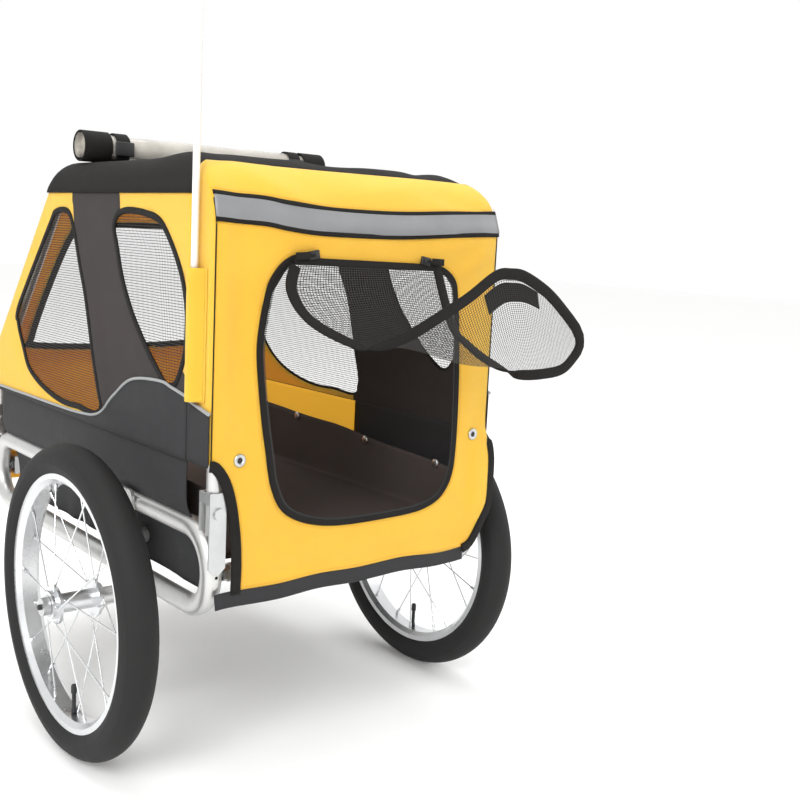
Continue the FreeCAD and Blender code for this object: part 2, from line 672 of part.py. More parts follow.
def window_corners(shares, grow):
    """Window outline, grown away from its own middle by a distance."""
    middle_along = sum(share for share, _ in shares) / len(shares)
    middle_up = sum(share for _, share in shares) / len(shares)
    corners = []
    for along, up in shares:
        away = math.hypot(along - middle_along, up - middle_up)
        push = f"({grow}) * {(along - middle_along) / away:.4f}"
        rise = f"({grow}) * {(up - middle_up) / away:.4f}"
        level = f"(side_low + (side_high - side_low) * {up})"
        length = f"(min(body_length; {slope_y(level, '0')}) - ({PANEL_REAR}))"
        corners.append((f"{PANEL_REAR} + {length} * {along} + {push}", f"{level} + {rise}"))
    return corners


def side_panel(sign):
    """Upper side wall that folds with its hoop, with two window openings."""
    top_front = slope_y("side_high", PANEL_INSET)
    nose = f"body_length - ({PANEL_INSET})"
    corners = [(PANEL_REAR, "side_low"), (PANEL_REAR, "side_high - clearance"),
               (top_front, "side_high - clearance"), (nose, slope_z(nose, PANEL_INSET)), (nose, "side_low")]
    low = "body_width / 2 - fabric" if sign > 0 else "-body_width / 2"
    panel = pose(prism("YZ_Plane", corners, "fabric"), low)
    windows = []
    for shares in (REAR_WINDOW_SHARES, FRONT_WINDOW_SHARES):
        outline_corners = window_corners(shares, "0")
        rounds = {number: "window_round" for number in range(len(shares))}
        window = prism("YZ_Plane", outline_corners, "body_width", rounds, symmetric=True)
        windows.append(window)
    return cut(panel, *windows)


def side_mesh(sign):
    """Net panes that close the two windows from inside."""
    low = "body_width / 2 - fabric - clearance - mesh_thick"
    start = low if sign > 0 else f"-({low}) - mesh_thick"
    panes = [pose(prism("YZ_Plane", window_corners(shares, "mesh_margin"), "mesh_thick"), start)
             for shares in (REAR_WINDOW_SHARES, FRONT_WINDOW_SHARES)]
    return group(*panes)


def side_skirt(sign):
    """Lower side wall: it leans in behind the loop and hangs to the floor."""
    rim_x = "body_width / 2 - clearance"
    step = "fabric"
    corners = [(f"{sign} * ({rim_x})", "skirt_high"), (f"{sign} * ({rim_x} - {step})", "skirt_high"),
               (f"{sign} * (skirt_in - {step})", "skirt_bend_z"),
               (f"{sign} * (skirt_in - {step})", "skirt_low"),
               (f"{sign} * skirt_in", "skirt_low"), (f"{sign} * skirt_in", "skirt_bend_z")]
    length = "body_length - 2 * skirt_inset"
    sheet_solid = pose(prism("XZ_Plane", corners, length, backwards=True), y="skirt_inset")
    passage = rod("cross_radius + clearance", "body_width", "-body_width / 2", "axle_y", LOOP_MIDDLE, ALONG_X)
    return cut(sheet_solid, passage)


def reflective_stripe():
    band = cabin_block("-overrun", "corner_depth", "stripe_low", "stripe_high", "body_width / 2 - shoulder")
    return common(cut(cabin_side("-(stripe_thick + clearance)"), cabin_side("-clearance")), band)


def door_zip():
    """Zip tape round the door, on the outside of the rear face."""
    face = cabin_block("-(zip_thick + clearance)", "-clearance", "door_low - 2 * zip_width",
                       "door_high + 2 * zip_width")
    return common(cut(door_prism("zip_width"), door_prism("0")), face)


def zip_sliders():
    """Two sliders parked at the upper corners of the zip."""
    back = "-(zip_thick + 2 * clearance)"
    level = "door_high + zip_width / 2"
    middle = "door_half - door_round - slider_length"
    sliders = [box((f"{sign} * ({middle}) - slider_length / 2", f"{back} - slider_thick",
                    f"{level} - slider_width / 2"),
                   (f"{sign} * ({middle}) + slider_length / 2", back, f"{level} + slider_width / 2"))
               for sign in SIDES.values()]
    return group(*sliders)


# Door flap drawn aside as in use: its left and right edges from the seam to the free end,
# as shares of half the door's width, the flap's reach and its drop
FLAP_LEFT_SHARES = ((-0.72, 0.0, 0.0), (-0.62, 0.3, -0.52), (-0.12, 0.6, -0.62), (0.36, 0.8, -0.28),
                    (0.85, 0.9, 0.01), (1.36, 0.945, -0.33), (1.56, 0.967, -0.52))
FLAP_RIGHT_SHARES = ((0.53, 0.0, 0.0), (0.5, 0.28, -0.6), (0.52, 0.5, -0.84), (0.82, 0.7, -0.93),
                     (1.13, 0.86, -0.985), (1.48, 0.95, -0.89), (1.6, 0.9761, -0.74))
FLAP_SAG_SHARES = (0.001, 0.03, 0.05, 0.05, 0.05, 0.04, 0.03)


def door_flap():
    """Net door sewn along the top of the opening, lofted through its cross-sections."""
    half, drop, thick = size("door_half"), size("flap_drop"), size("fabric")
    near = size("zip_thick + 2 * clearance + fabric")
    out = size("rear_reach") - near
    seam = size("door_high - clearance")
    lefts, rights = ([Vector(x * half, -near - y * out, seam + z * drop) for x, y, z in shares]
                     for shares in (FLAP_LEFT_SHARES, FLAP_RIGHT_SHARES))
    middles = [(left + right) / 2 for left, right in zip(lefts, rights)]
    ways = [after - before for before, after in zip(middles[:1] + middles, middles[1:] + middles[-1:])]
    sections = []
    for left, right, way, sag_share in zip(lefts, rights, ways, FLAP_SAG_SHARES):
        chord = right - left
        normal = way.cross(chord).normalize()
        middle = (left + right) / 2 - normal * (chord.Length * sag_share)
        ends = (left, right)
        back = [place - normal * thick for place in (left, middle, right)]
        sections.append(Part.Wire([Part.Arc(ends[0], middle, ends[1]).toShape(),
                                   Part.LineSegment(ends[1], back[2]).toShape(),
                                   Part.Arc(back[2], back[1], back[0]).toShape(),
                                   Part.LineSegment(back[0], ends[0]).toShape()]))
    return feature(Part.makeLoft(sections, True, False))


# Floor, liner and snaps
FLOOR_TOP = f"({LOOP_MIDDLE} + cross_radius + clearance + floor_thick)"


def floor_board():
    corners = [("-floor_half", "liner_rear"), ("floor_half", "liner_rear"),
               ("floor_half", "liner_front"), ("-floor_half", "liner_front")]
    return prism("XY_Plane", corners, "floor_thick", {number: "floor_round" for number in range(4)})


def floor_liner():
    """Soft tray on the floor board with high side walls and lower end walls."""
    low = f"{FLOOR_TOP} + clearance"
    outside = box(("-liner_half", "liner_rear", low), ("liner_half", "liner_front", "liner_side_high"))
    inside = box(("liner_thick - liner_half", "liner_rear + liner_thick", f"{low} + liner_thick"),
                 ("liner_half - liner_thick", "liner_front - liner_thick", "liner_side_high + overrun"))
    over = "liner_half - liner_thick"
    rear = box((f"-({over})", "liner_rear - overrun", "liner_rear_high"),
               (over, "liner_rear + 2 * liner_thick", "liner_side_high + overrun"))
    front = box((f"-({over})", "liner_front - 2 * liner_thick", "liner_front_high"),
                (over, "liner_front + overrun", "liner_side_high + overrun"))
    return cut(outside, inside, rear, front)


# Places of the liner's snaps along each side, as shares of its length
SNAP_SHARES = (0.12, 0.345, 0.62, 0.88)


def snap_studs():
    """Press studs along the liner's sides and near the rear panel's lower corners."""
    studs = []
    for sign in SIDES.values():
        studs.append(rod("snap_radius", "snap_thick", f"{sign} * (body_width / 2 - notch_width)",
                         "-(snap_thick + clearance)", "side_low + snap_drop", ALONG_Y))
        turn = ALONG_X if sign < 0 else LEFT_OUT
        start = f"{sign} * (liner_half - liner_thick - clearance)"
        for share in SNAP_SHARES:
            along = f"liner_rear + (liner_front - liner_rear) * {share}"
            studs.append(rod("snap_radius", "snap_thick", start, along, "liner_side_high - snap_drop", turn))
    return group(*studs)


# Rolled-up front cover
ROLL_Z = "roof_height + clearance + roll_strap_thick + clearance + roll_radius"


ROLL_HALF_TURNS = 7


def half_turns(centre, radius, step):
    """Half circles of a spiral about two centres, each smaller than the last by a step."""
    arcs = []
    for number in range(ROLL_HALF_TURNS):
        way = 1 if number % 2 else -1
        across = Vector(0, 0, way * radius)
        bulge = Vector(0, way * radius, 0)
        arcs.append(Part.Arc(centre + across, centre + bulge, centre - across).toShape())
        radius -= step
        centre = centre - Vector(0, 0, way * step)
    return arcs


def cover_roll():
    """Clear sheet rolled up: a spiral of half turns with an even gap, drawn across the roof."""
    thick, step = size("roll_sheet"), size("(roll_sheet + roll_gap) / 2")
    centre = spot("-roll_half", "roll_y", ROLL_Z)
    outer = half_turns(centre, size("roll_radius"), step)
    inner = half_turns(centre, size("roll_radius") - thick, step)
    caps = [Part.makeLine(a.Vertexes[end].Point, b.Vertexes[end].Point)
            for a, b, end in ((outer[0], inner[0], 0), (outer[-1], inner[-1], -1))]
    profile = Part.Wire(Part.sortEdges(outer + inner + caps)[0])
    return feature(Part.Face(profile).extrude(Vector(size("2 * roll_half"), 0, 0)))


def roll_straps():
    inner = "roll_radius + clearance"
    return group(*(ring(f"{inner} + roll_strap_thick", inner, "roll_strap_width",
                        f"{sign} * roll_strap_x - roll_strap_width / 2", "roll_y", ROLL_Z, ALONG_X)
                   for sign in SIDES.values()))


# Safety flag in its pocket at the left rear corner
POLE_X = "-(body_width / 2 + clearance + pocket_radius)"


def flag_pocket():
    length = "pocket_high - pole_low + fabric + clearance"
    pocket = rod("pocket_radius", length, POLE_X, "pole_y", "pole_low - fabric - clearance")
    hollow = rod("pole_radius + clearance", length, POLE_X, "pole_y", "pole_low - clearance")
    return cut(pocket, hollow)


def flag_pole():
    """Rod in two sections joined by a ferrule."""
    grip, middle = "ferrule_length / 2", "ferrule_z"
    return spun([("0", "pole_low"), ("pole_radius", "pole_low"), ("pole_radius", f"{middle} - {grip}"),
                 ("ferrule_radius", f"{middle} - {grip}"), ("ferrule_radius", f"{middle} + {grip}"),
                 ("pole_radius", f"{middle} + {grip}"), ("pole_radius", "pole_high"), ("0", "pole_high")])


def flag_cap():
    body = rod("cap_radius", "cap_length", POLE_X, "pole_y", "pole_high - cap_length / 2")
    socket = rod("pole_radius + running", "cap_length / 2", POLE_X, "pole_y", "pole_high - cap_length / 2")
    return cut(body, socket)


FLAG_WAVES = 5


def flag_pennant():
    """Pointed flag with a hem round the pole and soft waves."""
    hem, thick = size("pole_radius + clearance"), size("flag_thick")
    length, height, wave = size("flag_length"), size("flag_height"), size("flag_wave")
    top = size("pole_high - cap_length")
    foot = spot(POLE_X, "pole_y", "0")
    sections = []
    for step in range(FLAG_WAVES + 1):
        share = step / FLAG_WAVES
        along = hem + length * share
        sway = wave * share * math.sin(math.pi * step / 2)
        taper = height * (1 - share) / 2 + thick
        middle = top - height / 2
        corners = [Vector(foot.x + sway + dx, foot.y + along, middle + dz)
                   for dx, dz in ((0, -taper), (thick, -taper), (thick, taper), (0, taper))]
        sections.append(Part.makePolygon(corners + corners[:1]))
    cloth = Part.makeLoft(sections, True, False)
    low = Vector(foot.x, foot.y, top - height)
    sock = Part.makeCylinder(hem + thick, height, low).cut(Part.makeCylinder(hem, height, low))
    return feature(sock.fuse(cloth).cut(Part.makeCylinder(hem, height, low)).removeSplitter())


# Drawbar with its bracket, bolt and hand knob
BAR_X = "-bar_x"
BAR_GAP = "(bar_radius + clearance)"


def bar_bracket():
    """Two plates that clasp the front cross tube and carry the drawbar's upright bolt."""
    plates = []
    for level in (f"{LOOP_MIDDLE} + {BAR_GAP}", f"{LOOP_MIDDLE} - {BAR_GAP} - bar_plate_thick"):
        corners = [(f"{BAR_X} - bar_plate_half", "bar_plate_rear"),
                   (f"{BAR_X} + bar_plate_half", "bar_plate_rear"),
                   (f"{BAR_X} + bar_plate_half", "bar_plate_front"),
                   (f"{BAR_X} - bar_plate_half", "bar_plate_front")]
        rounds = {number: "bar_plate_round" for number in (2, 3)}
        plates.append(pose(prism("XY_Plane", corners, "bar_plate_thick", rounds), z=level))
    reach = f"({BAR_GAP} + bar_plate_thick)"
    back = box((f"{BAR_X} - bar_plate_half", "bar_plate_rear - bar_plate_thick", f"{LOOP_MIDDLE} - {reach}"),
               (f"{BAR_X} + bar_plate_half", "bar_plate_rear", f"{LOOP_MIDDLE} + {reach}"))
    bore = rod("bar_bolt_radius + running", f"2 * {reach}", BAR_X, "bar_pivot_y", f"{LOOP_MIDDLE} - {reach}")
    return cut(fuse(back, *plates), bore)


def drawbar():
    """Tube that runs forwards from the bracket and dips to the hitch."""
    points = [spot(BAR_X, "bar_pivot_y - bar_tail", LOOP_MIDDLE), spot(BAR_X, "bar_knee_y", LOOP_MIDDLE),
              spot(BAR_X, "bar_foot_y", "hitch_z"), spot(BAR_X, "bar_end_y", "hitch_z")]
    shape = tube(route(points, size("bar_bend")), size("bar_radius"), size("bar_wall"))
    span = size("bar_radius + overrun")
    hole = drill(size("bar_bolt_radius + running"), -span, 2 * span, BAR_X, "bar_pivot_y", LOOP_MIDDLE,
                 Vector(0, 0, 1))
    return feature(shape.cut(hole))


PLATE_TOP = f"({LOOP_MIDDLE} + {BAR_GAP} + bar_plate_thick)"


def bar_bolt():
    low = f"{LOOP_MIDDLE} - {BAR_GAP} - bar_plate_thick - clearance"
    shank = rod("bar_bolt_radius", f"{PLATE_TOP} + knob_thick / 2 - ({low})", BAR_X, "bar_pivot_y", low)
    head = hexagon("nut_flats", "bolt_head_thick", BAR_X, "bar_pivot_y", f"{low} - bolt_head_thick",
                   Rotation())
    return fuse(shank, head)


KNOB_LOBES = 5


def bar_knob():
    """Lobed hand knob that clamps the drawbar."""
    base = f"{PLATE_TOP} + clearance"
    middle = rod("knob_core", "knob_thick", BAR_X, "bar_pivot_y", base)
    lobes = []
    for number in range(KNOB_LOBES):
        angle = 2 * math.pi * number / KNOB_LOBES
        reach = "(knob_radius - knob_lobe)"
        lobes.append(rod("knob_lobe", "knob_thick", f"{BAR_X} + {reach} * {math.cos(angle):.5f}",
                         f"bar_pivot_y + {reach} * {math.sin(angle):.5f}", base))
    bore = rod("bar_bolt_radius + running", "knob_thick / 2 + clearance", BAR_X, "bar_pivot_y", base)
    return cut(fuse(middle, *lobes), bore)


# Hitch at the drawbar's end
BLOCK_END = "(bar_end_y - block_socket + block_length)"
PIN_Y = f"({BLOCK_END} + yoke_thick + yoke_reach - yoke_half)"


def hitch_block():
    """Rubber block that flexes between the drawbar and the yoke."""
    solid = rod("block_radius", "block_length", BAR_X, "bar_end_y - block_socket", "hitch_z", ALONG_Y)
    socket = rod("bar_radius + running", "block_socket + running", BAR_X, "bar_end_y - block_socket",
                 "hitch_z", ALONG_Y)
    return cut(solid, socket)


def hitch_yoke():
    """Fork with two ears for the upright pin."""
    ear_high = "(yoke_gap / 2 + yoke_thick)"
    start = f"{BLOCK_END} + clearance"
    back = box((f"{BAR_X} - yoke_half", start, f"hitch_z - {ear_high}"),
               (f"{BAR_X} + yoke_half", f"{start} + yoke_thick", f"hitch_z + {ear_high}"))
    ears = []
    for level in ("hitch_z + yoke_gap / 2", "hitch_z - yoke_gap / 2 - yoke_thick"):
        corners = [(f"{BAR_X} - yoke_half", start), (f"{BAR_X} + yoke_half", start),
                   (f"{BAR_X} + yoke_half", f"{start} + yoke_reach"),
                   (f"{BAR_X} - yoke_half", f"{start} + yoke_reach")]
        rounds = {number: "yoke_round" for number in (2, 3)}
        ears.append(pose(prism("XY_Plane", corners, "yoke_thick", rounds), z=level))
    bore = rod("hitch_pin_radius + running", f"2 * {ear_high}", BAR_X, PIN_Y, f"hitch_z - {ear_high}")
    return cut(fuse(back, *ears), bore)


def hitch_pin():
    ear_high = "(yoke_gap / 2 + yoke_thick + clearance)"
    shank = rod("hitch_pin_radius", f"2 * {ear_high}", BAR_X, PIN_Y, f"hitch_z - {ear_high}")
    head = rod("2 * hitch_pin_radius", "yoke_thick", BAR_X, PIN_Y, f"hitch_z + {ear_high}")
    return fuse(shank, head)


def hitch_plate():
    """Upright plate with the hole for a bicycle's rear axle, on a tongue that turns in the yoke."""
    disc = rod("hitch_radius", "hitch_thick", f"{BAR_X} - hitch_thick / 2", "hitch_y", "hitch_z", ALONG_X)
    hole = rod("axle_hole", "hitch_thick", f"{BAR_X} - hitch_thick / 2", "hitch_y", "hitch_z", ALONG_X)
    rise = "(yoke_gap / 2 - clearance)"
    tongue = box((f"{BAR_X} - tongue_half", PIN_Y, f"hitch_z - {rise}"),
                 (f"{BAR_X} + tongue_half", "hitch_y - hitch_radius + hitch_thick", f"hitch_z + {rise}"))
    knuckle = rod("tongue_half", f"2 * {rise}", BAR_X, PIN_Y, f"hitch_z - {rise}")
    bore = rod("hitch_pin_radius + running", f"2 * {rise}", BAR_X, PIN_Y, f"hitch_z - {rise}")
    return cut(fuse(disc, tongue, knuckle), hole, bore)


def build():
    for side, sign in SIDES.items():
        wheel(side, sign)
        node(f"side_loop_{side}", side_loop(sign))
        node(f"axle_bracket_{side}", axle_bracket(sign))
        node(f"side_hoop_{side}", hoop(sign))
        node(f"side_panel_{side}", side_panel(sign))
        node(f"side_mesh_{side}", side_mesh(sign))
        node(f"side_skirt_{side}", side_skirt(sign))
        node(f"hinge_brackets_{side}", hinge_brackets(sign))
    node("rear_cross_tube", cross_tube("loop_end"))
    node("front_cross_tube", cross_tube(FRONT_END))
    makers = {
        "axle_tube": axle_tube, "cross_studs": cross_studs, "bracket_screws": bracket_screws,
        "hinge_rivets": hinge_rivets, "rear_panel": rear_panel, "roof_canopy": roof_canopy,
        "front_panel": front_panel, "reflective_stripe": reflective_stripe, "door_zip": door_zip,
        "zip_sliders": zip_sliders, "door_flap": door_flap,
        "floor_liner": floor_liner, "snap_studs": snap_studs,
        "cover_roll": cover_roll, "roll_straps": roll_straps, "flag_pocket": flag_pocket,
        "flag_cap": flag_cap, "flag_pennant": flag_pennant,
        "bar_bracket": bar_bracket, "drawbar": drawbar, "bar_bolt": bar_bolt, "bar_knob": bar_knob,
        "hitch_block": hitch_block, "hitch_yoke": hitch_yoke, "hitch_pin": hitch_pin,
        "hitch_plate": hitch_plate,
    }
    for label, maker in makers.items():
        node(label, maker())
    node("floor_board", floor_board(), z=f"{FLOOR_TOP} - floor_thick")
    node("flag_pole", flag_pole(), POLE_X, "pole_y")


def check():
    """Stop if any object failed or any finished shape is not sound."""
    for item in doc.Objects:
        if "Invalid" in item.State or "Error" in item.State:
            raise RuntimeError(f"{item.Name} ({item.Label}) failed: {item.State}")
    for label, item in nodes.items():
        if item.Shape.isNull() or not item.Shape.isValid() or not item.Shape.Solids:
            raise RuntimeError(f"{label} has no sound shape")


build()
doc.recompute()
check()
os.makedirs("parts", exist_ok=True)
whole = FreeCAD.BoundBox()
for label, item in nodes.items():
    item.Shape.exportStep(f"parts/{label}.step")
    whole.add(item.Shape.optimalBoundingBox())
print(f"{len(nodes)} sub-parts, box {whole.XMin:.2f} {whole.XMax:.2f} {whole.YMin:.2f} {whole.YMax:.2f} "
      f"{whole.ZMin:.2f} {whole.ZMax:.2f}")
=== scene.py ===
"""Looks of the dog trailer: fabric cabin, net door, spoked wheels, tube frame, drawbar and flag."""
import math

import bpy
import numpy as np
from mathutils import Matrix, Vector


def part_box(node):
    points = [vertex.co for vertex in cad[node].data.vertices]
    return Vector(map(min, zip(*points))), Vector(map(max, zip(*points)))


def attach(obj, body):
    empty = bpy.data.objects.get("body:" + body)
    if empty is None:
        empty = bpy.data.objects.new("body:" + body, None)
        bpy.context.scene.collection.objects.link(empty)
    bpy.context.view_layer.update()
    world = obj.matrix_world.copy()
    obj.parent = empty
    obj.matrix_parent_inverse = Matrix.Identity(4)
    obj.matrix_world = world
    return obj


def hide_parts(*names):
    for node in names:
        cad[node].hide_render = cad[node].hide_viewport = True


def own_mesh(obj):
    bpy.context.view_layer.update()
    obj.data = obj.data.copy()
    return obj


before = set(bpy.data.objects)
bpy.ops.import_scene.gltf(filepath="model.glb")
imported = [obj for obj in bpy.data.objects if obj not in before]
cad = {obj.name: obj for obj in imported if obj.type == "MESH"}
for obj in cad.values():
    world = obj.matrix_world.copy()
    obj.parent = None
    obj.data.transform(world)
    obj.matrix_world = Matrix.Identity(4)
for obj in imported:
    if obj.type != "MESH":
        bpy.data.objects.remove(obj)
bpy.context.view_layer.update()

# Lengths are in millimetres, Y forwards from the rear face and Z up from the ground
MM = 0.001
TURN = 2 * math.pi
REAR_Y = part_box("rear_panel")[0].y / MM
SIDES = {"left": -1, "right": 1}
BODY_HALF, BODY_FRONT = 213.0, 690.0
ROOF_Z, ROOF_FRONT = 737.0, 420.0
KNEE_Z, FRONT_HEM = 430.0, 228.0
FRONT_RISE = KNEE_Z - FRONT_HEM
FRONT_SLOPE = math.hypot(BODY_FRONT - ROOF_FRONT, ROOF_Z - KNEE_Z)
SHOULDER = 34.0  # radius of the roof's long edges
BEND = 80.0  # radius of the rear face's bend into the roof
BEND_Z = ROOF_Z - BEND
CORNER_Y = 52.0  # reach of the rear cloth round the corners
HEM_Z = 246.0
CLOTH = 2.0
FADE = 30.0  # folds die out over this width along an edge


# Finishes
class Sock:
    """A shader socket: sums and products of it add Math nodes."""

    def __init__(self, finish, socket):
        self.finish = finish
        self.socket = socket

    def _math(self, operation, first, second=0.0):
        return self.finish.node("Math", {"operation": operation}, {0: first, 1: second})

    def __add__(self, other):
        return self._math("ADD", self, other)

    def __sub__(self, other):
        return self._math("SUBTRACT", self, other)

    def __rsub__(self, other):
        return self._math("SUBTRACT", other, self)

    def __mul__(self, other):
        return self._math("MULTIPLY", self, other)

    __radd__ = __add__
    __rmul__ = __mul__

    def sine(self):
        return self._math("SINE", self)


class Finish:
    """A material built from nodes."""

    def __init__(self, name):
        self.material = bpy.data.materials.new(name)
        self.material.use_nodes = True
        self.tree = self.material.node_tree
        self.tree.nodes.clear()
        self.output = self.tree.nodes.new("ShaderNodeOutputMaterial")

    def node(self, kind, settings=None, inputs=None, out=0):
        """Add a node: its settings first, then the values or links of its sockets."""
        made = self.tree.nodes.new("ShaderNode" + kind)
        for key, value in (settings or {}).items():
            setattr(made, key, value)
        for key, value in (inputs or {}).items():
            if isinstance(value, Sock):
                self.tree.links.new(value.socket, made.inputs[key])
            else:
                made.inputs[key].default_value = value
        return Sock(self, made.outputs[out])

    def coords(self, kind):
        return self.node("TexCoord", out=kind)

    def parts(self, vector):
        """The three numbers of a vector."""
        split = self.node("SeparateXYZ", None, {0: vector}).socket.node
        return [Sock(self, socket) for socket in split.outputs]

    def noise(self, vector, scale, detail=3.0, rough=0.5):
        inputs = {"Vector": vector, "Scale": scale, "Detail": detail, "Roughness": rough}
        return self.node("TexNoise", None, inputs)

    def mix(self, share, first, second):
        """A colour between two colours."""
        return self.node("Mix", {"data_type": "RGBA"}, {0: share, 6: (*first, 1), 7: (*second, 1)}, out=2)

    def bump(self, height, distance):
        return self.node("Bump", None, {"Height": height, "Distance": distance, "Strength": 1.0})

    def surface(self, **values):
        """Finish with the main shader; names use _ for a space."""
        inputs = {key.replace("_", " "): value for key, value in values.items()}
        shader = self.node("BsdfPrincipled", None, inputs)
        self.tree.links.new(shader.socket, self.output.inputs[0])
        return self.material


def woven(name, colour, shade, pitch=0.9, rough=0.72, sheen=0.12, specular=0.35, glow=0.0, lit=0.0):
    """Coated woven cloth: fine plain weave on the piece's own map and faint creasing; its tone varies at random,
    with painted shade in the hollows of the creases and the weave.
    """
    made = Finish(name)
    chart = made.coords("UV")
    across, along, _ = made.parts(chart)
    turns = TURN / (pitch * MM)
    weave = (across * turns).sine() * (along * turns).sine()
    mottled = made.noise(chart, 14.0, 4.0)
    crease = made.noise(chart, 60.0, 5.0, 0.62)
    # Painted shade: where the crease and weave heights are low the tint falls to the shade colour.
    tint = made.mix(mottled * 0.55 + crease * 0.25 + weave * 0.06, shade, colour)
    height = weave * 0.35 + crease * 0.9
    # lit sets an emission of the cloth's own colour: a painted glow.
    return made.surface(Base_Color=tint, Roughness=crease * 0.16 + (rough - 0.08), Sheen_Weight=sheen,
                        Specular_IOR_Level=specular, Normal=made.bump(height, 0.00035),
                        Subsurface_Weight=glow, Subsurface_Scale=0.006, Subsurface_Radius=(1.0, 0.75, 0.25),
                        Emission_Color=(*colour, 1), Emission_Strength=lit)


def solid(name, colour, shade, rough, metallic=0.0, coat=0.0, specular=0.5, dust=(22.0, 4.0, 0.5),
          grain=(900.0, 0.0001), spread=(0.2, 0.0)):
    """Metal, plastic, rubber or yarn: dull patches, a fine grain, and the spread of roughness from both."""
    made = Finish(name)
    place = made.coords("Object")
    cloud = made.noise(place, *dust)
    fine = made.noise(place, grain[0], 2.0)
    dull = cloud * spread[0] + fine * spread[1] + (rough - sum(spread) / 2)
    return made.surface(Base_Color=made.mix(cloud, shade, colour), Metallic=metallic, Roughness=dull,
                        Coat_Weight=coat, Specular_IOR_Level=specular, Normal=made.bump(fine, grain[1]))


def reflective_tape():
    """Grey tape with the faint glass-bead grain and honeycomb of reflective trim."""
    made = Finish("reflective_tape")
    chart = made.coords("UV")
    across, along, _ = made.parts(chart)
    turns = TURN / (3.0 * MM)
    comb = ((across + along) * turns).sine() * ((across - along) * turns).sine()
    beads = made.noise(chart, 2600.0, 1.0)
    soft = made.noise(chart, 20.0, 3.0)
    share = soft * 0.7 + comb * 0.08 + beads * 0.15
    tint = made.mix(share, (0.172, 0.174, 0.18), (0.268, 0.272, 0.278))
    return made.surface(Base_Color=tint, Roughness=beads * 0.2 + 0.3, Metallic=0.2,
                        Normal=made.bump(beads + comb * 0.4, 0.0001))


def clear_vinyl():
    """Clear rolled vinyl: milky where many turns lie on each other."""
    made = Finish("clear_vinyl")
    cloud = made.noise(made.coords("Object"), 26.0, 4.0)
    return made.surface(Base_Color=made.mix(cloud, (0.50, 0.47, 0.41), (0.72, 0.69, 0.63)),
                        Roughness=cloud * 0.2 + 0.08, Alpha=cloud * 0.35 + 0.42, Coat_Weight=0.6,
                        Normal=made.bump(cloud, 0.0012))


DULL = {"rough": 0.75, "sheen": 0.0, "specular": 0.25}
YELLOW = woven("yellow_cloth", (0.87, 0.51, 0.052), (0.78, 0.405, 0.025), glow=0.7)
# Painted light: an orange copy of the yellow cloth that glows, standing for light coming through the wall.
INNER_GLOW = woven("inner_cloth_painted_glow", (0.87, 0.45, 0.03), (0.78, 0.36, 0.02), lit=0.5)
BLACK = woven("black_cloth", (0.012, 0.010, 0.009), (0.005, 0.0045, 0.004), 0.9, 0.75, 0.0, 0.22)
# Painted light: the black cloth made lighter to stand for light inside the cabin.
LINING_PAINTED_LIGHT = woven("lining_cloth_painted_light", (0.095, 0.076, 0.071), (0.064, 0.052, 0.049), **DULL)
# Painted light: the black cloth made lighter to stand for light on the inside of the wall patch.
PATCH_PAINTED_LIGHT = woven("patch_cloth_painted_light", (0.052, 0.044, 0.042), (0.034, 0.029, 0.028), **DULL)
TRIM = woven("trim_tape", (0.010, 0.008, 0.007), (0.004, 0.0035, 0.003), 0.7, 0.7, 0.0, 0.25)
GREY = woven("grey_cloth", (0.034, 0.034, 0.036), (0.019, 0.019, 0.021), 0.9, 0.66, 0.0, 0.3)
PALE = woven("pale_piping", (0.42, 0.43, 0.43), (0.28, 0.29, 0.29), 0.7, 0.5)
ORANGE = woven("flag_cloth", (0.92, 0.17, 0.02), (0.78, 0.11, 0.012), rough=0.6)
THREAD = woven("yellow_thread", (0.82, 0.45, 0.04), (0.60, 0.30, 0.02), 0.7, 0.6)
TAPE = reflective_tape()
NET = solid("net_thread", (0.02, 0.0185, 0.017), (0.006, 0.0055, 0.005), 0.6, dust=(800.0, 2.0, 0.5),
            grain=(800.0, 0.0001))
VINYL = clear_vinyl()
METAL = {"dust": (38.0, 5.0, 0.65), "grain": (420.0, 0.00005), "spread": (0.22, 0.08)}
SILVER = solid("silver_coat", (0.66, 0.66, 0.645), (0.50, 0.50, 0.49), 0.36, 0.85, **METAL)
ZINC = solid("zinc_plate", (0.64, 0.65, 0.65), (0.45, 0.46, 0.46), 0.38, 1.0, **METAL)
ALLOY = solid("rim_alloy", (0.78, 0.79, 0.80), (0.62, 0.63, 0.64), 0.3, 1.0, **METAL)
CHROME = solid("spoke_wire", (0.80, 0.81, 0.82), (0.66, 0.67, 0.68), 0.22, 1.0, **METAL)
RUBBER = solid("tyre_rubber", (0.018, 0.0175, 0.017), (0.006, 0.006, 0.0065), 0.725, specular=0.3,
               dust=(30.0, 5.0, 0.6), grain=(700.0, 0.00012), spread=(0.25, 0.0))
PLASTIC = solid("black_plastic", (0.016, 0.016, 0.017), (0.007, 0.007, 0.008), 0.48)
BOARD = solid("floor_plastic", (0.03, 0.03, 0.031), (0.016, 0.016, 0.017), 0.65)
WHITE = solid("white_rod", (0.86, 0.86, 0.83), (0.78, 0.78, 0.75), 0.4, coat=0.3)
BLOCK = solid("black_rubber", (0.016, 0.016, 0.016), (0.007, 0.007, 0.007), 0.7)


# Meshes: a shape is its points, faces and flat chart
def places(*parts):
    """Points from their coordinates, which may be single numbers, rows or columns."""
    return np.stack(np.broadcast_arrays(*parts), -1)


def spans(*ends):
    """Several even runs of numbers, one after another."""
    return np.concatenate([np.linspace(*span) for span in ends])


def circle(count):
    """Angles evenly round a circle."""
    return np.linspace(0, TURN, count, endpoint=False)


def cos_sin(degrees):
    return math.cos(math.radians(degrees)), math.sin(math.radians(degrees))


def row(points):
    """Points of the trailer's own sizes, as metres in the frame."""
    return (np.asarray(points, float) + (0, REAR_Y, 0)) * MM


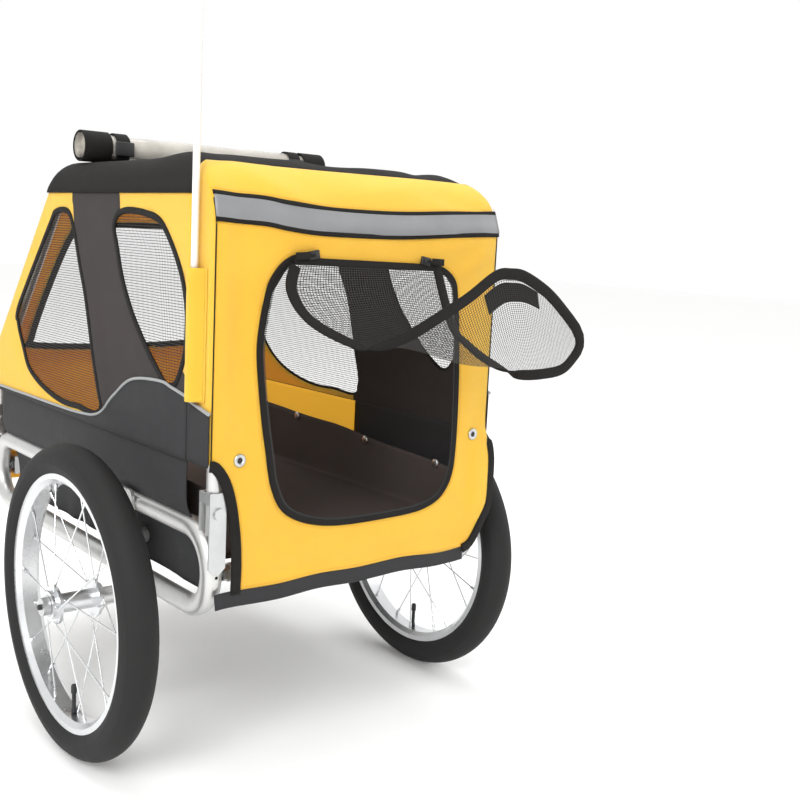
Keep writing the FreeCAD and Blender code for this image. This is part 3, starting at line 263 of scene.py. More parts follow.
def piece(name, shape, finish, stands_for=(), body="chassis"):
    """A finished object that rides on a body."""
    points, faces, chart = shape
    mesh = bpy.data.meshes.new(name)
    mesh.from_pydata(row(points).tolist(), [], [list(face) for face in faces])
    mesh.materials.append(finish)
    mesh.polygons.foreach_set("use_smooth", [True] * len(mesh.polygons))
    if chart is not None:
        corners = np.empty(len(mesh.loops), int)
        mesh.loops.foreach_get("vertex_index", corners)
        layer = mesh.uv_layers.new(name="UVMap")
        layer.data.foreach_set("uv", (np.asarray(chart, float)[corners] * MM).ravel())
    mesh.update()
    return placed(linked(name, mesh), body, stands_for)


def linked(name, data):
    """A new object in the scene."""
    item = bpy.data.objects.new(name, data)
    bpy.context.scene.collection.objects.link(item)
    return item


def placed(item, body, stands_for=()):
    """Parent an object to its body's empty and hide the solids that it stands for."""
    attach(item, body)
    if stands_for:
        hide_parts(*stands_for)
    return item


def thicken(item, thick=CLOTH, offset=-1.0):
    """Give a sheet its wall."""
    wall = item.modifiers.new("wall", "SOLIDIFY")
    wall.thickness = thick * MM
    wall.offset = offset
    return item


def grid_faces(rows, columns, closed=False):
    """Quads of a grid stored row by row; closed joins the last column to the first."""
    here = np.arange(rows * columns).reshape(rows, columns)
    after = np.roll(here, -1, 1)
    quads = places(here[:-1], after[:-1], after[1:], here[1:])
    return (quads if closed else quads[:, :-1]).reshape(-1, 4).tolist()


def flipped(faces):
    return [face[::-1] for face in faces]


def grid(points, chart, flip=False, closed=False):
    """Shape of rows and columns of points."""
    faces = grid_faces(*points.shape[:2], closed)
    return points.reshape(-1, 3), flipped(faces) if flip else faces, chart.reshape(-1, 2)


def run_along(line):
    """Length run at each point of a line."""
    return np.append(0, np.cumsum(np.linalg.norm(np.diff(line, axis=0), axis=1)))


def curve_through(points, step, closed=False):
    """Smooth line through points, with even steps."""
    points = np.asarray(points, float)
    count = len(points)
    fine = []
    for i in range(count if closed else count - 1):
        ids = [(i + k) % count if closed else min(max(i + k, 0), count - 1) for k in (-1, 0, 1, 2)]
        a, b, c, d = points[ids]
        for t in np.linspace(0, 1, 24, endpoint=False):
            fine.append(0.5 * (2 * b + (c - a) * t + (2 * a - 5 * b + 4 * c - d) * t ** 2
                               + (3 * b - a - 3 * c + d) * t ** 3))
    fine.append(points[0] if closed else points[-1])
    return evened(fine, step, closed)


def evened(points, step, closed=False):
    """A line cut into even steps; a closed line doesn't repeat its first point."""
    points = np.asarray(points, float)
    run = run_along(points)
    count = max(3, int(round(run[-1] / step)))
    spots = np.linspace(0, run[-1], count + 1)
    line = places(*(np.interp(spots, run, column) for column in points.T))
    return line[:-1] if closed else line


def ring(outline):
    """A closed outline in even steps."""
    return evened(np.vstack([outline, outline[:1]]), 2.0, True)


def unit(vectors):
    return vectors / np.maximum(np.linalg.norm(vectors, axis=-1, keepdims=True), 1e-9)


def swept(path, section, ups, closed=False):
    """Shape of a section, given as pairs of side and up, drawn along a path."""
    path = np.asarray(path, float)
    ups = np.broadcast_to(np.asarray(ups, float), path.shape)
    ahead = np.roll(path, -1, 0) - np.roll(path, 1, 0) if closed else np.gradient(path, axis=0)
    ahead = unit(ahead)
    side = unit(np.cross(ahead, ups))
    up = np.cross(side, ahead)
    section = np.asarray(section, float)
    points = path[:, None] + side[:, None] * section[None, :, :1] + up[:, None] * section[None, :, 1:]
    rows, columns = len(path), len(section)
    chart = places(run_along(path)[:, None], run_along(section)).reshape(-1, 2)
    faces = grid_faces(rows, columns, True)
    last = (rows - 1) * columns
    if closed:
        faces += [(last + c, last + (c + 1) % columns, (c + 1) % columns, c) for c in range(columns)]
    else:
        faces += [tuple(range(columns))[::-1], tuple(range(last, rows * columns))]
    return points.reshape(-1, 3), flipped(faces), chart


def flat_section(width, thick):
    """Section of a tape: flat below, soft edges above."""
    w, t = width / 2, thick
    return [(-w, 0), (-w, 0.5 * t), (-w + 0.6 * t, t), (w - 0.6 * t, t), (w, 0.5 * t), (w, 0)]


def fold_section(width, thick):
    """Section of a tape folded over an edge: full on both faces."""
    w, t = width / 2, thick / 2
    return [(-w, -t), (-w - 0.5 * t, 0), (-w, t), (w - t, t), (w + 0.3 * t, 0.45 * t),
            (w + 0.3 * t, -0.45 * t), (w - t, -t)]


def round_section(radius, count=10):
    return radius * places(np.cos(circle(count)), np.sin(circle(count)))


def strip(name, path, section, ups, finish, stands_for=(), body="chassis", closed=False):
    piece(name, swept(path, section, ups, closed), finish, stands_for, body)


def merged(parts):
    """One shape from several."""
    points, faces, charts, base = [], [], [], 0
    for part_points, part_faces, part_chart in parts:
        points.append(part_points)
        charts.append(part_chart)
        faces += [[base + i for i in face] for face in part_faces]
        base += len(part_points)
    return np.concatenate(points), faces, np.concatenate(charts)


def beside(line, distance):
    """A line on the flat moved to its left by a distance."""
    ahead = unit(np.gradient(line, axis=0))
    return line + places(-ahead[:, 1], ahead[:, 0]) * distance


def inside(spots, loop):
    """True for each spot inside a closed outline."""
    x, y = spots[:, 0][:, None], spots[:, 1][:, None]
    ax, ay = loop[:, 0], loop[:, 1]
    bx, by = np.roll(ax, -1), np.roll(ay, -1)
    rise = np.where(by == ay, 1e-9, by - ay)
    crosses = ((ay > y) != (by > y)) & (x < (bx - ax) * (y - ay) / rise + ax)
    return crosses.sum(1) % 2 == 1


def cut_grid(us, vs, outer, holes=()):
    """Flat grid of spots and quads, cut to an outline and round holes, with its cut edges on the lines."""
    spots = places(us, vs[:, None]).reshape(-1, 2)
    faces = np.array(grid_faces(len(vs), len(us)))
    centres = spots[faces].mean(1)
    keep = inside(centres, outer)
    for hole in holes:
        keep &= ~inside(centres, hole)
    edge = np.intersect1d(faces[~keep], faces[keep])
    lines = np.vstack([outer, *holes])
    spots[edge] = lines[((spots[edge][:, None] - lines) ** 2).sum(-1).argmin(1)]
    used, number = np.unique(faces[keep], return_inverse=True)
    return spots[used], number.reshape(-1, 4).tolist()


def creases(a, b, folds):
    """Height of soft folds at places a, b; each is its middle, turn in degrees, length, width and height."""
    total = np.zeros_like(np.asarray(a, float))
    for middle_a, middle_b, turn, length, width, height in folds:
        c, s = cos_sin(turn)
        along = (a - middle_a) * c + (b - middle_b) * s
        across = (b - middle_b) * c - (a - middle_a) * s
        total = total + height * np.exp(-(along / length) ** 2 - (across / width) ** 2)
    return total


ROW_SIZES = ("Pitch", "Length", "Width", "Height")


def rows_tree(name, kind):
    """Geometry nodes: small solids spaced along a line, turned to the line and to its own up direction."""
    tree = bpy.data.node_groups.new(name, "GeometryNodeTree")
    face = tree.interface
    for label, sort in (("Geometry", "Geometry"), *((size, "Float") for size in ROW_SIZES), ("Finish", "Material")):
        face.new_socket(label, in_out="INPUT", socket_type="NodeSocket" + sort)
    face.new_socket("Geometry", in_out="OUTPUT", socket_type="NodeSocketGeometry")

    def add(kind_name, **links):
        made = tree.nodes.new(kind_name)
        for key, value in links.items():
            if isinstance(value, bpy.types.NodeSocket):
                tree.links.new(value, made.inputs[key])
            else:
                made.inputs[key].default_value = value
        return made

    given = add("NodeGroupInput").outputs
    line = add("GeometryNodeMeshToCurve", Mesh=given["Geometry"])
    even = add("GeometryNodeResampleCurve", Curve=line.outputs[0])
    even.mode = "LENGTH"
    tree.links.new(given["Pitch"], even.inputs["Length"])
    size = add("ShaderNodeCombineXYZ", X=given["Length"], Y=given["Width"], Z=given["Height"])
    ball = {"Segments": 8, "Rings": 5, "Radius": 0.5}
    form = add("GeometryNodeMesh" + kind, **(ball if kind == "UVSphere" else {}))
    tangent = add("GeometryNodeInputTangent")
    up = add("GeometryNodeInputNamedAttribute", Name="up")
    up.data_type = "FLOAT_VECTOR"
    first = add("FunctionNodeAlignRotationToVector", Vector=tangent.outputs[0])
    first.axis = "X"
    second = add("FunctionNodeAlignRotationToVector", Rotation=first.outputs[0], Vector=up.outputs["Attribute"])
    second.axis = "Z"
    second.pivot_axis = "X"
    every = add("GeometryNodeInstanceOnPoints", Points=even.outputs[0], Instance=form.outputs[0],
                Rotation=second.outputs[0], Scale=size.outputs[0])
    real = add("GeometryNodeRealizeInstances", Geometry=every.outputs[0])
    coated = add("GeometryNodeSetMaterial", Geometry=real.outputs[0], Material=given["Finish"])
    add("NodeGroupOutput", Geometry=coated.outputs[0])
    return tree


STITCH_ROWS = rows_tree("stitch_rows", "UVSphere")
BLOCK_ROWS = rows_tree("block_rows", "Cube")


def repeated(name, lines, tree, sizes, finish, body="chassis"):
    """A piece of many small solids along lines: each line is its points and their up directions."""
    mesh = bpy.data.meshes.new(name)
    points = np.concatenate([line for line, _ in lines])
    ups = np.concatenate([np.broadcast_to(np.asarray(up, float), line.shape) for line, up in lines])
    edges, base = [], 0
    for line, _ in lines:
        edges += [(base + i, base + i + 1) for i in range(len(line) - 1)]
        base += len(line)
    mesh.from_pydata(row(points).tolist(), edges, [])
    mark = mesh.attributes.new("up", "FLOAT_VECTOR", "POINT")
    mark.data.foreach_set("vector", ups.ravel().astype(np.float32))
    guide = linked(name + "_guide", mesh)
    layer = guide.modifiers.new("rows", "NODES")
    layer.node_group = tree
    values = {label: value * MM for label, value in zip(ROW_SIZES, sizes)}
    values["Finish"] = finish
    for item in tree.interface.items_tree:
        if item.in_out == "INPUT" and item.name in values:
            layer[item.identifier] = values[item.name]
    bpy.context.view_layer.update()
    shown = guide.evaluated_get(bpy.context.evaluated_depsgraph_get())
    made = bpy.data.meshes.new_from_object(shown)
    made.polygons.foreach_set("use_smooth", [tree == STITCH_ROWS] * len(made.polygons))
    bpy.data.objects.remove(guide)
    made.name = name
    return placed(linked(name, made), body)


# Rear face
ABOVE = 800.0  # higher than any cloth
NOTCH_TOP = 398.0
BRACKET_X, BRACKET_Z = 206.0, 338.0  # the right corner swells over the hinge bracket here
BEND_TOP_Z = BEND_Z + math.sqrt(BEND ** 2 - (BEND - CORNER_Y) ** 2)
ZIP_LINE = curve_through([(-84, 632.5), (-116, 626), (-137, 606), (-146, 580), (-153, 530), (-148, 473),
                          (-139, 414), (-129, 366), (-106, 332), (-50, 313), (36, 310), (106, 315), (139, 337),
                          (150, 390), (149, 482), (141, 580), (127, 612), (88, 628)], 3.0)
DOOR_TOP = evened([(88, 628), (85, 622.5), (0, 624.5), (-80, 626), (-84, 632.5)], 3.0)
DOOR = np.vstack([ZIP_LINE, DOOR_TOP[1:-1]])
NOTCH_LEFT = curve_through([(-214, NOTCH_TOP), (-207, 396), (-197, 384), (-189, 366), (-183, 340), (-179, 300),
                            (-177, HEM_Z)], 4)
NOTCH_RIGHT = curve_through([(265, NOTCH_TOP), (240, 397.6), (224, 396), (215, 390), (214, 372), (214, 335),
                             (214, 314), (213, 301), (208, 286), (201, 266), (191, 252), (177, HEM_Z)], 4)
STRIPE = curve_through([(-212, 682), (-150, 679), (-120, 675), (-75, 671.5), (0, 671), (60, 672.5),
                        (140, 677.5), (212, 681)], 6)
HEM = curve_through([(-203, 239), (-183.5, 240), (-120, 238), (-60, 241), (0, 239), (70, 241), (130, 238),
                     (178, 240)], 6)
REAR_FOLDS = [(172, 500, 88, 120, 20, 3.5), (188, 640, 32, 60, 13, 4), (-178, 560, 92, 130, 16, -4),
              (150, 655, 20, 70, 12, 3), (-60, 655, -8, 90, 16, 3.5), (70, 652, 6, 70, 14, -2.5),
              (-165, 330, 70, 80, 18, 3), (160, 330, 110, 70, 18, 2.5), (0, 280, 2, 160, 14, 2.5),
              (-90, 268, 12, 60, 10, -2.5), (110, 262, -14, 60, 10, 2.5), (-120, 700, -25, 60, 15, 4),
              (40, 712, 8, 90, 12, 3), (150, 705, -10, 50, 12, -3)]


def rear_bend(height):
    """Angle of the bend into the roof at a height, and the rear face's place along the body."""
    lift = np.clip((np.asarray(height, float) - BEND_Z) / BEND, 0, 1)
    return np.arcsin(lift), BEND - BEND * np.sqrt(1 - lift ** 2)


def shoulder_half(height):
    """Half width of the cabin at a height, round at the shoulders."""
    lift = np.clip(np.asarray(height, float) - (ROOF_Z - SHOULDER), 0, SHOULDER)
    return BODY_HALF - SHOULDER + np.sqrt(SHOULDER ** 2 - lift ** 2)


def rear_face(x, z, out=0.0):
    """Points of the rear face at places across and up, moved outwards by a distance."""
    x, z = np.asarray(x, float), np.asarray(z, float)
    turn, y = rear_bend(z)
    fall = np.clip((shoulder_half(z) - np.abs(x)) / FADE, 0, 1)
    over_bracket = np.exp(-((z - BRACKET_Z) / 58) ** 4)
    swell = creases(x, z, REAR_FOLDS) * fall + out + 7.5 * over_bracket * np.exp(-((x - BRACKET_X) / 24) ** 4)
    aside = 7.0 * over_bracket * np.clip((x - 185) / 28, 0, 1)
    return places(x + aside, y - swell * np.cos(turn), z + swell * np.sin(turn))


def on_rear(line, out):
    """A line across and up the rear face, as points and up directions."""
    turn, _ = rear_bend(line[:, 1])
    return rear_face(*line.T, out), places(0.0, -np.cos(turn), np.sin(turn))


def rear_cloth(u, z, out=0.0):
    """Points of the rear cloth from the run across it, which goes on round both corners."""
    half = shoulder_half(z)
    over = np.maximum(np.abs(u) - BODY_HALF, 0) / CORNER_Y
    x = np.sign(u) * np.minimum(np.abs(u) / BODY_HALF * half, half)
    points = rear_face(x, z, np.where(over > 0, 0, out))
    points[:, 1] += (CORNER_Y - points[:, 1]) * over
    near = np.clip(1 - np.abs(np.abs(u) - BODY_HALF) / 9.0, 0, 1)
    points[:, 0] += np.sign(u) * (np.where(over > 0, out, 0) - near * 2.0)
    points[:, 1] += near * 1.6
    return points


def rear_panel():
    """Yellow rear cloth: flat face with its door, returns round the corners and the bend into the roof."""
    bend_run = BEND * math.asin((BEND_TOP_Z - BEND_Z) / BEND)
    lift = np.concatenate([np.arange(HEM_Z, BEND_Z, 6.0),
                           BEND_Z + BEND * np.sin(np.linspace(0, bend_run, 16) / BEND)])
    reach = BODY_HALF + CORNER_Y
    us = spans((-reach, -BODY_HALF - 1, 9), (4 - BODY_HALF, BODY_HALF - 4, 72), (BODY_HALF + 1, reach, 9))
    outline = np.concatenate([[(-reach - 1, NOTCH_TOP)], NOTCH_LEFT, NOTCH_RIGHT[::-1],
                              [(reach + 1, ABOVE), (-reach - 1, ABOVE)]])
    edges = np.concatenate([evened(outline[i:i + 2], 4) for i in range(len(outline) - 1)])
    spots, faces = cut_grid(us, lift, edges, [DOOR])
    panel = thicken(piece("rear_cloth", (rear_cloth(*spots.T), faces, spots), YELLOW, ["rear_panel"]))


def rear_strip(name, line, width, thick, finish, stands_for=(), out=0.3):
    """A flat tape along a line of the rear face."""
    points, ups = on_rear(line, out)
    strip(name, points, flat_section(width, thick), ups, finish, stands_for)


rear_panel()
rear_strip("stripe_tape", STRIPE, 25, 0.7, TAPE, ["reflective_stripe"])
for name, rise in (("stripe_edge_upper", 14.0), ("stripe_edge_lower", -14.0)):
    rear_strip(name, STRIPE + (0, rise), 5.5, 1.1, TRIM)
rear_strip("door_binding", ZIP_LINE, 8.5, 1.8, TRIM, ["door_zip"])
rear_strip("notch_binding_left", NOTCH_LEFT, 13, 2.6, TRIM)
corner_up = np.clip((NOTCH_RIGHT[:, 0] - BODY_HALF - 3) / 10, 0, 1)[:, None]
strip("notch_binding_right", rear_cloth(*NOTCH_RIGHT.T, 0.4), flat_section(13, 2.6),
      corner_up * (1, 0, 0) + (1 - corner_up) * (0, -1, 0), TRIM)
rear_strip("hem_tape", HEM, 19, 2.4, GREY, out=-1.2)


# Side walls and their nets
SIDE_REAR, SIDE_FRONT, SIDE_LOW, SIDE_HIGH = 52.3, 684.5, 395.0, 700.0
WALL_TOP, WALL_INSET = 699.7, 5.5  # the walls' cloth ends this high and this far behind the front
PATCH_LAP = 7.0
NET_PITCH, NET_OUT = 3.3, -1.4
WALL_THREAD, FLAP_THREAD = 0.105, 0.115  # half a net thread as a share of a cell


def net(name, points, cells, body, stands_for, thread):
    """Open net over a grid of points: every chosen cell keeps a frame of thread round a hole."""
    flat = points.reshape(-1, 3)
    quads = np.array(grid_faces(*points.shape[:2]))[cells]
    corners = flat[quads]
    holes = corners + (corners.mean(1, keepdims=True) - corners) * (2 * thread)
    start = len(flat) + 4 * np.arange(len(quads))
    faces = []
    for k in range(4):
        after = (k + 1) % 4
        faces.append(places(quads[:, k], quads[:, after], start + after, start + k))
    every = np.concatenate([flat, holes.reshape(-1, 3)])
    used, number = np.unique(np.concatenate(faces), return_inverse=True)
    return piece(name, (every[used], number.reshape(-1, 4).tolist(), None), NET, stands_for, body)


def front_y(z):
    """Place of the sloping front at a height."""
    share = np.clip((np.asarray(z, float) - KNEE_Z) / (ROOF_Z - KNEE_Z), 0, 1)
    return BODY_FRONT + (ROOF_FRONT - BODY_FRONT) * share


def wall_spot(shares):
    """Window outline from shares of the wall's length and height."""
    length, height = BODY_FRONT - SIDE_REAR, SIDE_HIGH - SIDE_LOW
    return curve_through([(SIDE_REAR + a * length, SIDE_LOW + b * height) for a, b in shares], 3.0, True)


WINDOWS = {
    "rear": wall_spot([(0.009, 0.49), (0.015, 0.39), (0.042, 0.285), (0.066, 0.262), (0.09, 0.275),
                       (0.142, 0.351), (0.191, 0.443), (0.233, 0.538), (0.274, 0.679), (0.298, 0.86),
                       (0.26, 0.912), (0.17, 0.905), (0.106, 0.868), (0.04, 0.72), (0.013, 0.59)]),
    "front": wall_spot([(0.365, 0.072), (0.4715, 0.056), (0.5656, 0.056), (0.666, 0.095), (0.743, 0.164),
                        (0.796, 0.279), (0.815, 0.364), (0.807, 0.43), (0.62, 0.84), (0.585, 0.9), (0.522, 0.9),
                        (0.49, 0.82), (0.459, 0.679), (0.423, 0.531), (0.39, 0.305)]),
}
SIDE_FOLDS = [(120, 560, 80, 100, 14, 2.5), (300, 520, 70, 120, 18, 3), (420, 430, 10, 120, 12, 2.5),
              (560, 470, 60, 80, 15, -3), (200, 640, 15, 90, 12, 2.5), (620, 420, 20, 60, 10, 2.5),
              (250, 420, 4, 120, 12, -2.5)]
MID_PATCH = np.array([(372, 698), (357, 602), (336, 557), (314, 488), (297, 417), (293, 398), (53, 398),
                      (53, 486), (74, 502), (105, 492), (133, 509), (162, 536), (188, 562), (212, 606),
                      (228, 657), (232, 698.0)])
INNER_BAND = np.array([(286, 350), (620, 350), (620, 404), (286, 404.0)])
GREY_TOP = np.array([(SIDE_REAR, 468), (87, 474), (115, 478), (190, 470), (240, 443), (285, 413), (340, 405),
                     (420, 403), (560, 402), (SIDE_FRONT, 401)])


def wall(y, z, sign, out):
    """Points of a side wall, moved outwards by a distance."""
    edge = np.minimum(np.minimum(y - SIDE_REAR, front_y(z) - y), np.minimum(z - SIDE_LOW, SIDE_HIGH - z))
    swell = creases(y, z, SIDE_FOLDS) * np.clip(edge / FADE, 0, 1) + out
    return places(sign * (BODY_HALF + swell), y, z)


def wall_strip(name, line, sign, section, finish, body, out, closed=False):
    strip(name, wall(*line.T, sign, out), section, (sign, 0, 0), finish, (), body, closed)


def wall_sheet(name, outline, holes, sign, finish, body, out, stands_for=(), thick=CLOTH):
    """A cloth panel of a side wall, cut to an outline and holes."""
    step = 7.0
    low, high = outline.min(0), outline.max(0)
    us, vs = (np.linspace(a, b, int((b - a) / step) + 2) for a, b in zip(low, high))
    spots, faces = cut_grid(us, vs, ring(outline), holes)
    shape = wall(*spots.T, sign, out), flipped(faces) if sign < 0 else faces, spots
    item = thicken(piece(name, shape, finish, stands_for, body), thick)


def side_wall(side, sign):
    """One side: yellow cloth with two net windows, a dark patch lightened with painted light, a yellow band inside
    glowing with painted light, grey lower edge.
    """
    body = "hoop_" + side
    windows = list(WINDOWS.values())
    front_edge = [(float(front_y(z)) - WALL_INSET, z) for z in (KNEE_Z, 520, 610, WALL_TOP)]
    outline = np.array([(SIDE_REAR, SIDE_LOW), (SIDE_FRONT, SIDE_LOW), *front_edge, (SIDE_REAR, WALL_TOP)])
    under_patch = beside(ring(MID_PATCH), -PATCH_LAP)
    wall_sheet("wall_cloth_" + side, outline, [*windows, under_patch], sign, YELLOW, body, 0.0,
               ["side_panel_" + side])
    # The patch's cloth is the black cloth lightened with painted light.
    wall_sheet("wall_patch_" + side, MID_PATCH, windows, sign, PATCH_PAINTED_LIGHT, body, 0.3, thick=2.8)
    # The inside band glows with painted light.
    wall_sheet("inner_band_" + side, INNER_BAND, [], sign, INNER_GLOW, "chassis", -5.4, thick=0.8)
    for label, window in WINDOWS.items():
        low, high = window.min(0), window.max(0)
        us, vs = (np.arange(a, b + NET_PITCH, NET_PITCH) for a, b in zip(low, high))
        spots = places(us, vs[:, None])
        centres = (spots[:-1, :-1] + spots[1:, 1:]) / 2
        keep = inside(centres.reshape(-1, 2), window)
        points = wall(spots[..., 0], spots[..., 1], sign, NET_OUT)
        stands = ["side_mesh_" + side] if label == "rear" else []
        item = net(f"wall_net_{label}_{side}", points, keep, body, stands, WALL_THREAD)
        width, height = (high - low) * MM
        0.31 * width * height
        wall_strip(f"window_piping_{label}_{side}", window, sign, flat_section(8, 2.2), TRIM, body, -0.6, True)
    outline = np.concatenate([GREY_TOP, [(SIDE_FRONT, SIDE_LOW), (SIDE_REAR, SIDE_LOW)]])
    wall_sheet("wall_grey_" + side, outline, [], sign, GREY, body, 1.9, thick=0.9)
    wall_strip("wall_piping_" + side, curve_through(GREY_TOP, 5), sign, round_section(1.9), PALE, body, 1.5)


for side, sign in SIDES.items():
    side_wall(side, sign)


# Roof, front and lower skirts
ROOF_FLAT = BODY_HALF - SHOULDER
ROOF_ARC = SHOULDER * math.pi / 2
ROOF_CORNER = 34.0  # the front corners run on this far
ROOF_FOLDS = [(0, 120, 90, 60, 40, -5), (-90, 70, 20, 60, 14, 3), (60, 66, -14, 70, 12, 3.5),
              (140, 90, 60, 60, 16, -3), (-40, 260, 80, 120, 50, -6), (100, 300, 40, 100, 30, 3),
              (-150, 180, 80, 90, 20, -3)]
FRONT_INSET = 3.5
FRONT_LOW = 12.0  # run up from the hem where the cloth starts
FRONT_FOLDS = [(-120, 110, 85, 60, 14, 3), (60, 120, 95, 70, 16, -3), (0, 60, 0, 120, 12, 3)]
MOUTH = curve_through([(-150, 240), (-162, 262), (-164, 380), (-158, 480), (-140, 500), (0, 506), (140, 500),
                       (158, 480), (164, 380), (162, 262), (150, 240), (0, 232)], 3, True)
SKIRT_STEP = 6
SKIRT = curve_through([(210.8, 404), (210.8, 396), (211.6, 388), (212.2, 372), (212, 355), (211, 342), (208, 334),
                       (202, 322), (196, 308), (191, 292), (188, 275), (187, 255), (187, 236.5)], SKIRT_STEP)


def roof_point(u, y):
    """Points of the roof from the run round its section and the place along it."""
    turn = np.clip((np.abs(u) - ROOF_FLAT) / SHOULDER, 0, math.pi / 2)
    x = np.sign(u) * (np.minimum(np.abs(u), ROOF_FLAT) + SHOULDER * np.sin(turn))
    below = np.maximum(np.abs(u) - ROOF_FLAT - ROOF_ARC, 0)
    x += np.sign(u) * np.minimum(below, 3.0) * 0.8
    edge = np.clip(np.minimum(y - CORNER_Y, ROOF_FRONT - y) / 40, 0.0, 1)
    sag = creases(x, y, ROOF_FOLDS) * edge * np.cos(turn)
    crown = 7.0 * np.exp(-((y - 110) / 55) ** 2) * np.cos(turn) * edge
    rear_drop = np.where(y < BEND, BEND - np.sqrt(np.maximum(BEND ** 2 - (BEND - y) ** 2, 0)), 0)
    z = (ROOF_Z - SHOULDER + SHOULDER * np.cos(turn) - below + np.minimum(sag, 1.5) + crown
         - rear_drop * np.cos(turn))
    return places(x, y, z)


def roof():
    """Black roof cloth, lapped over the walls' upper edges and cut along the sloping front."""
    reach = ROOF_FLAT + ROOF_ARC + 8
    u, share = np.linspace(-reach, reach, 70), np.linspace(0, 1, 56)[:, None]
    ends = ROOF_FRONT + ROOF_CORNER * np.clip((np.abs(u) - ROOF_FLAT) / 56, 0, 1) ** 1.5
    spots = places(u, CORNER_Y - 1 + share * (ends - CORNER_Y + 1))
    shape = grid(roof_point(spots[..., 0], spots[..., 1]), spots)
    item = thicken(piece("roof_cloth", shape, BLACK, ["roof_canopy"]))


def front_point(x, run):
    """Points of the front: up from the hem to the knee, then back along the slope."""
    share = np.clip((run - FRONT_RISE) / FRONT_SLOPE, 0, 1)
    y = BODY_FRONT + (ROOF_FRONT - BODY_FRONT) * share
    z = FRONT_HEM + np.minimum(run, FRONT_RISE) + (ROOF_Z - KNEE_Z) * share
    return places(x, y, z)


def front():
    """Yellow front cloth with its open mouth, from the hem up to the roof's front edge."""
    half = BODY_HALF - FRONT_INSET
    shoulder = [(float(shoulder_half(z)) - FRONT_INSET, FRONT_RISE + FRONT_SLOPE * (z - KNEE_Z) / (ROOF_Z - KNEE_Z))
                for z in (700, 708, 716, 723, 729, 733, 735.5)]
    outline = np.array([(-half, FRONT_LOW), (half, FRONT_LOW), *shoulder,
                        *[(-x, run) for x, run in shoulder[::-1]]])
    us = np.linspace(-half, half, 62)
    vs = spans((FRONT_LOW, FRONT_RISE, 28), (FRONT_RISE + 6, FRONT_RISE + FRONT_SLOPE - 1, 58))
    spots, faces = cut_grid(us, vs, ring(outline), [MOUTH])
    points = front_point(*spots.T)
    points[:, 1] += np.clip(creases(*spots.T, FRONT_FOLDS), -3, 0)
    item = thicken(piece("front_cloth", (points, flipped(faces), spots), YELLOW, ["front_panel"]))
    normal = unit(np.array([0, ROOF_Z - KNEE_Z, BODY_FRONT - ROOF_FRONT]))
    strip("mouth_binding", front_point(*MOUTH.T), fold_section(12, 4.2), normal, TRIM, closed=True)


def skirt(side, sign):
    """Dark lower cloth inside the side loop: upright above, tucked in below."""
    u, v = np.arange(len(SKIRT)), np.linspace(55, 635, 90)[:, None]
    x, z = SKIRT.T
    low = np.clip((330 - z) / 60, 0, 1)
    wave = 1.6 * np.sin(v / 17 + 3 * np.sin(v / 61)) + 1.2 * np.sin(v / 41 + 1)
    x = np.minimum(x - 1.0, x - 1.4 + wave * low)
    shape = grid(places(sign * x, v, z), places(u * SKIRT_STEP, v), sign > 0)
    item = thicken(piece("skirt_cloth_" + side, shape, GREY, ["side_skirt_" + side]), 1.6)


roof()
front()
for side, sign in SIDES.items():
    skirt(side, sign)


# Door flap of net
FLAP_UPPER = [(-110, -4.8, 625.7), (-127, -20, 594), (-116, -42, 562.5), (-74, -62, 538), (-50, -74, 533),
              (-11, -88, 547), (42, -100, 578), (67, -104, 593), (103, -109, 618), (125, -112, 621),
              (147, -114, 618), (186, -117, 599), (220, -119, 573), (247, -121, 548)]
FLAP_FOLD = [(-4, -4.8, 624), (-7, -25, 583), (-2, -48, 552), (8, -60, 539), (23, -70, 535), (40, -78, 523),
             (59, -85, 515), (97, -94, 508), (135, -101, 503), (164, -106, 498), (197, -112, 498),
             (230, -117, 504), (256, -121, 538)]
FLAP_LOWER = [(102, -4.8, 622), (101, -22, 586), (98, -45, 550), (112, -58, 531), (130, -72, 514),
              (152, -88, 501), (167, -97, 496), (197, -107, 497), (229, -114, 504), (250, -120, 529)]
FLAP_ROWS, FLAP_COLUMNS = 142, 62
FOLD_ENDS, FOLD_FADE = 0.42, 0.3  # shares of the flap's length
TAB_ROWS, TAB_COLUMNS = slice(88, 114), slice(4, 14)


def spread(line):
    """A line's points at even shares of its length."""
    run = np.linspace(0, 1, len(line))
    return places(*(np.interp(np.linspace(0, 1, FLAP_ROWS), run, column) for column in line.T))


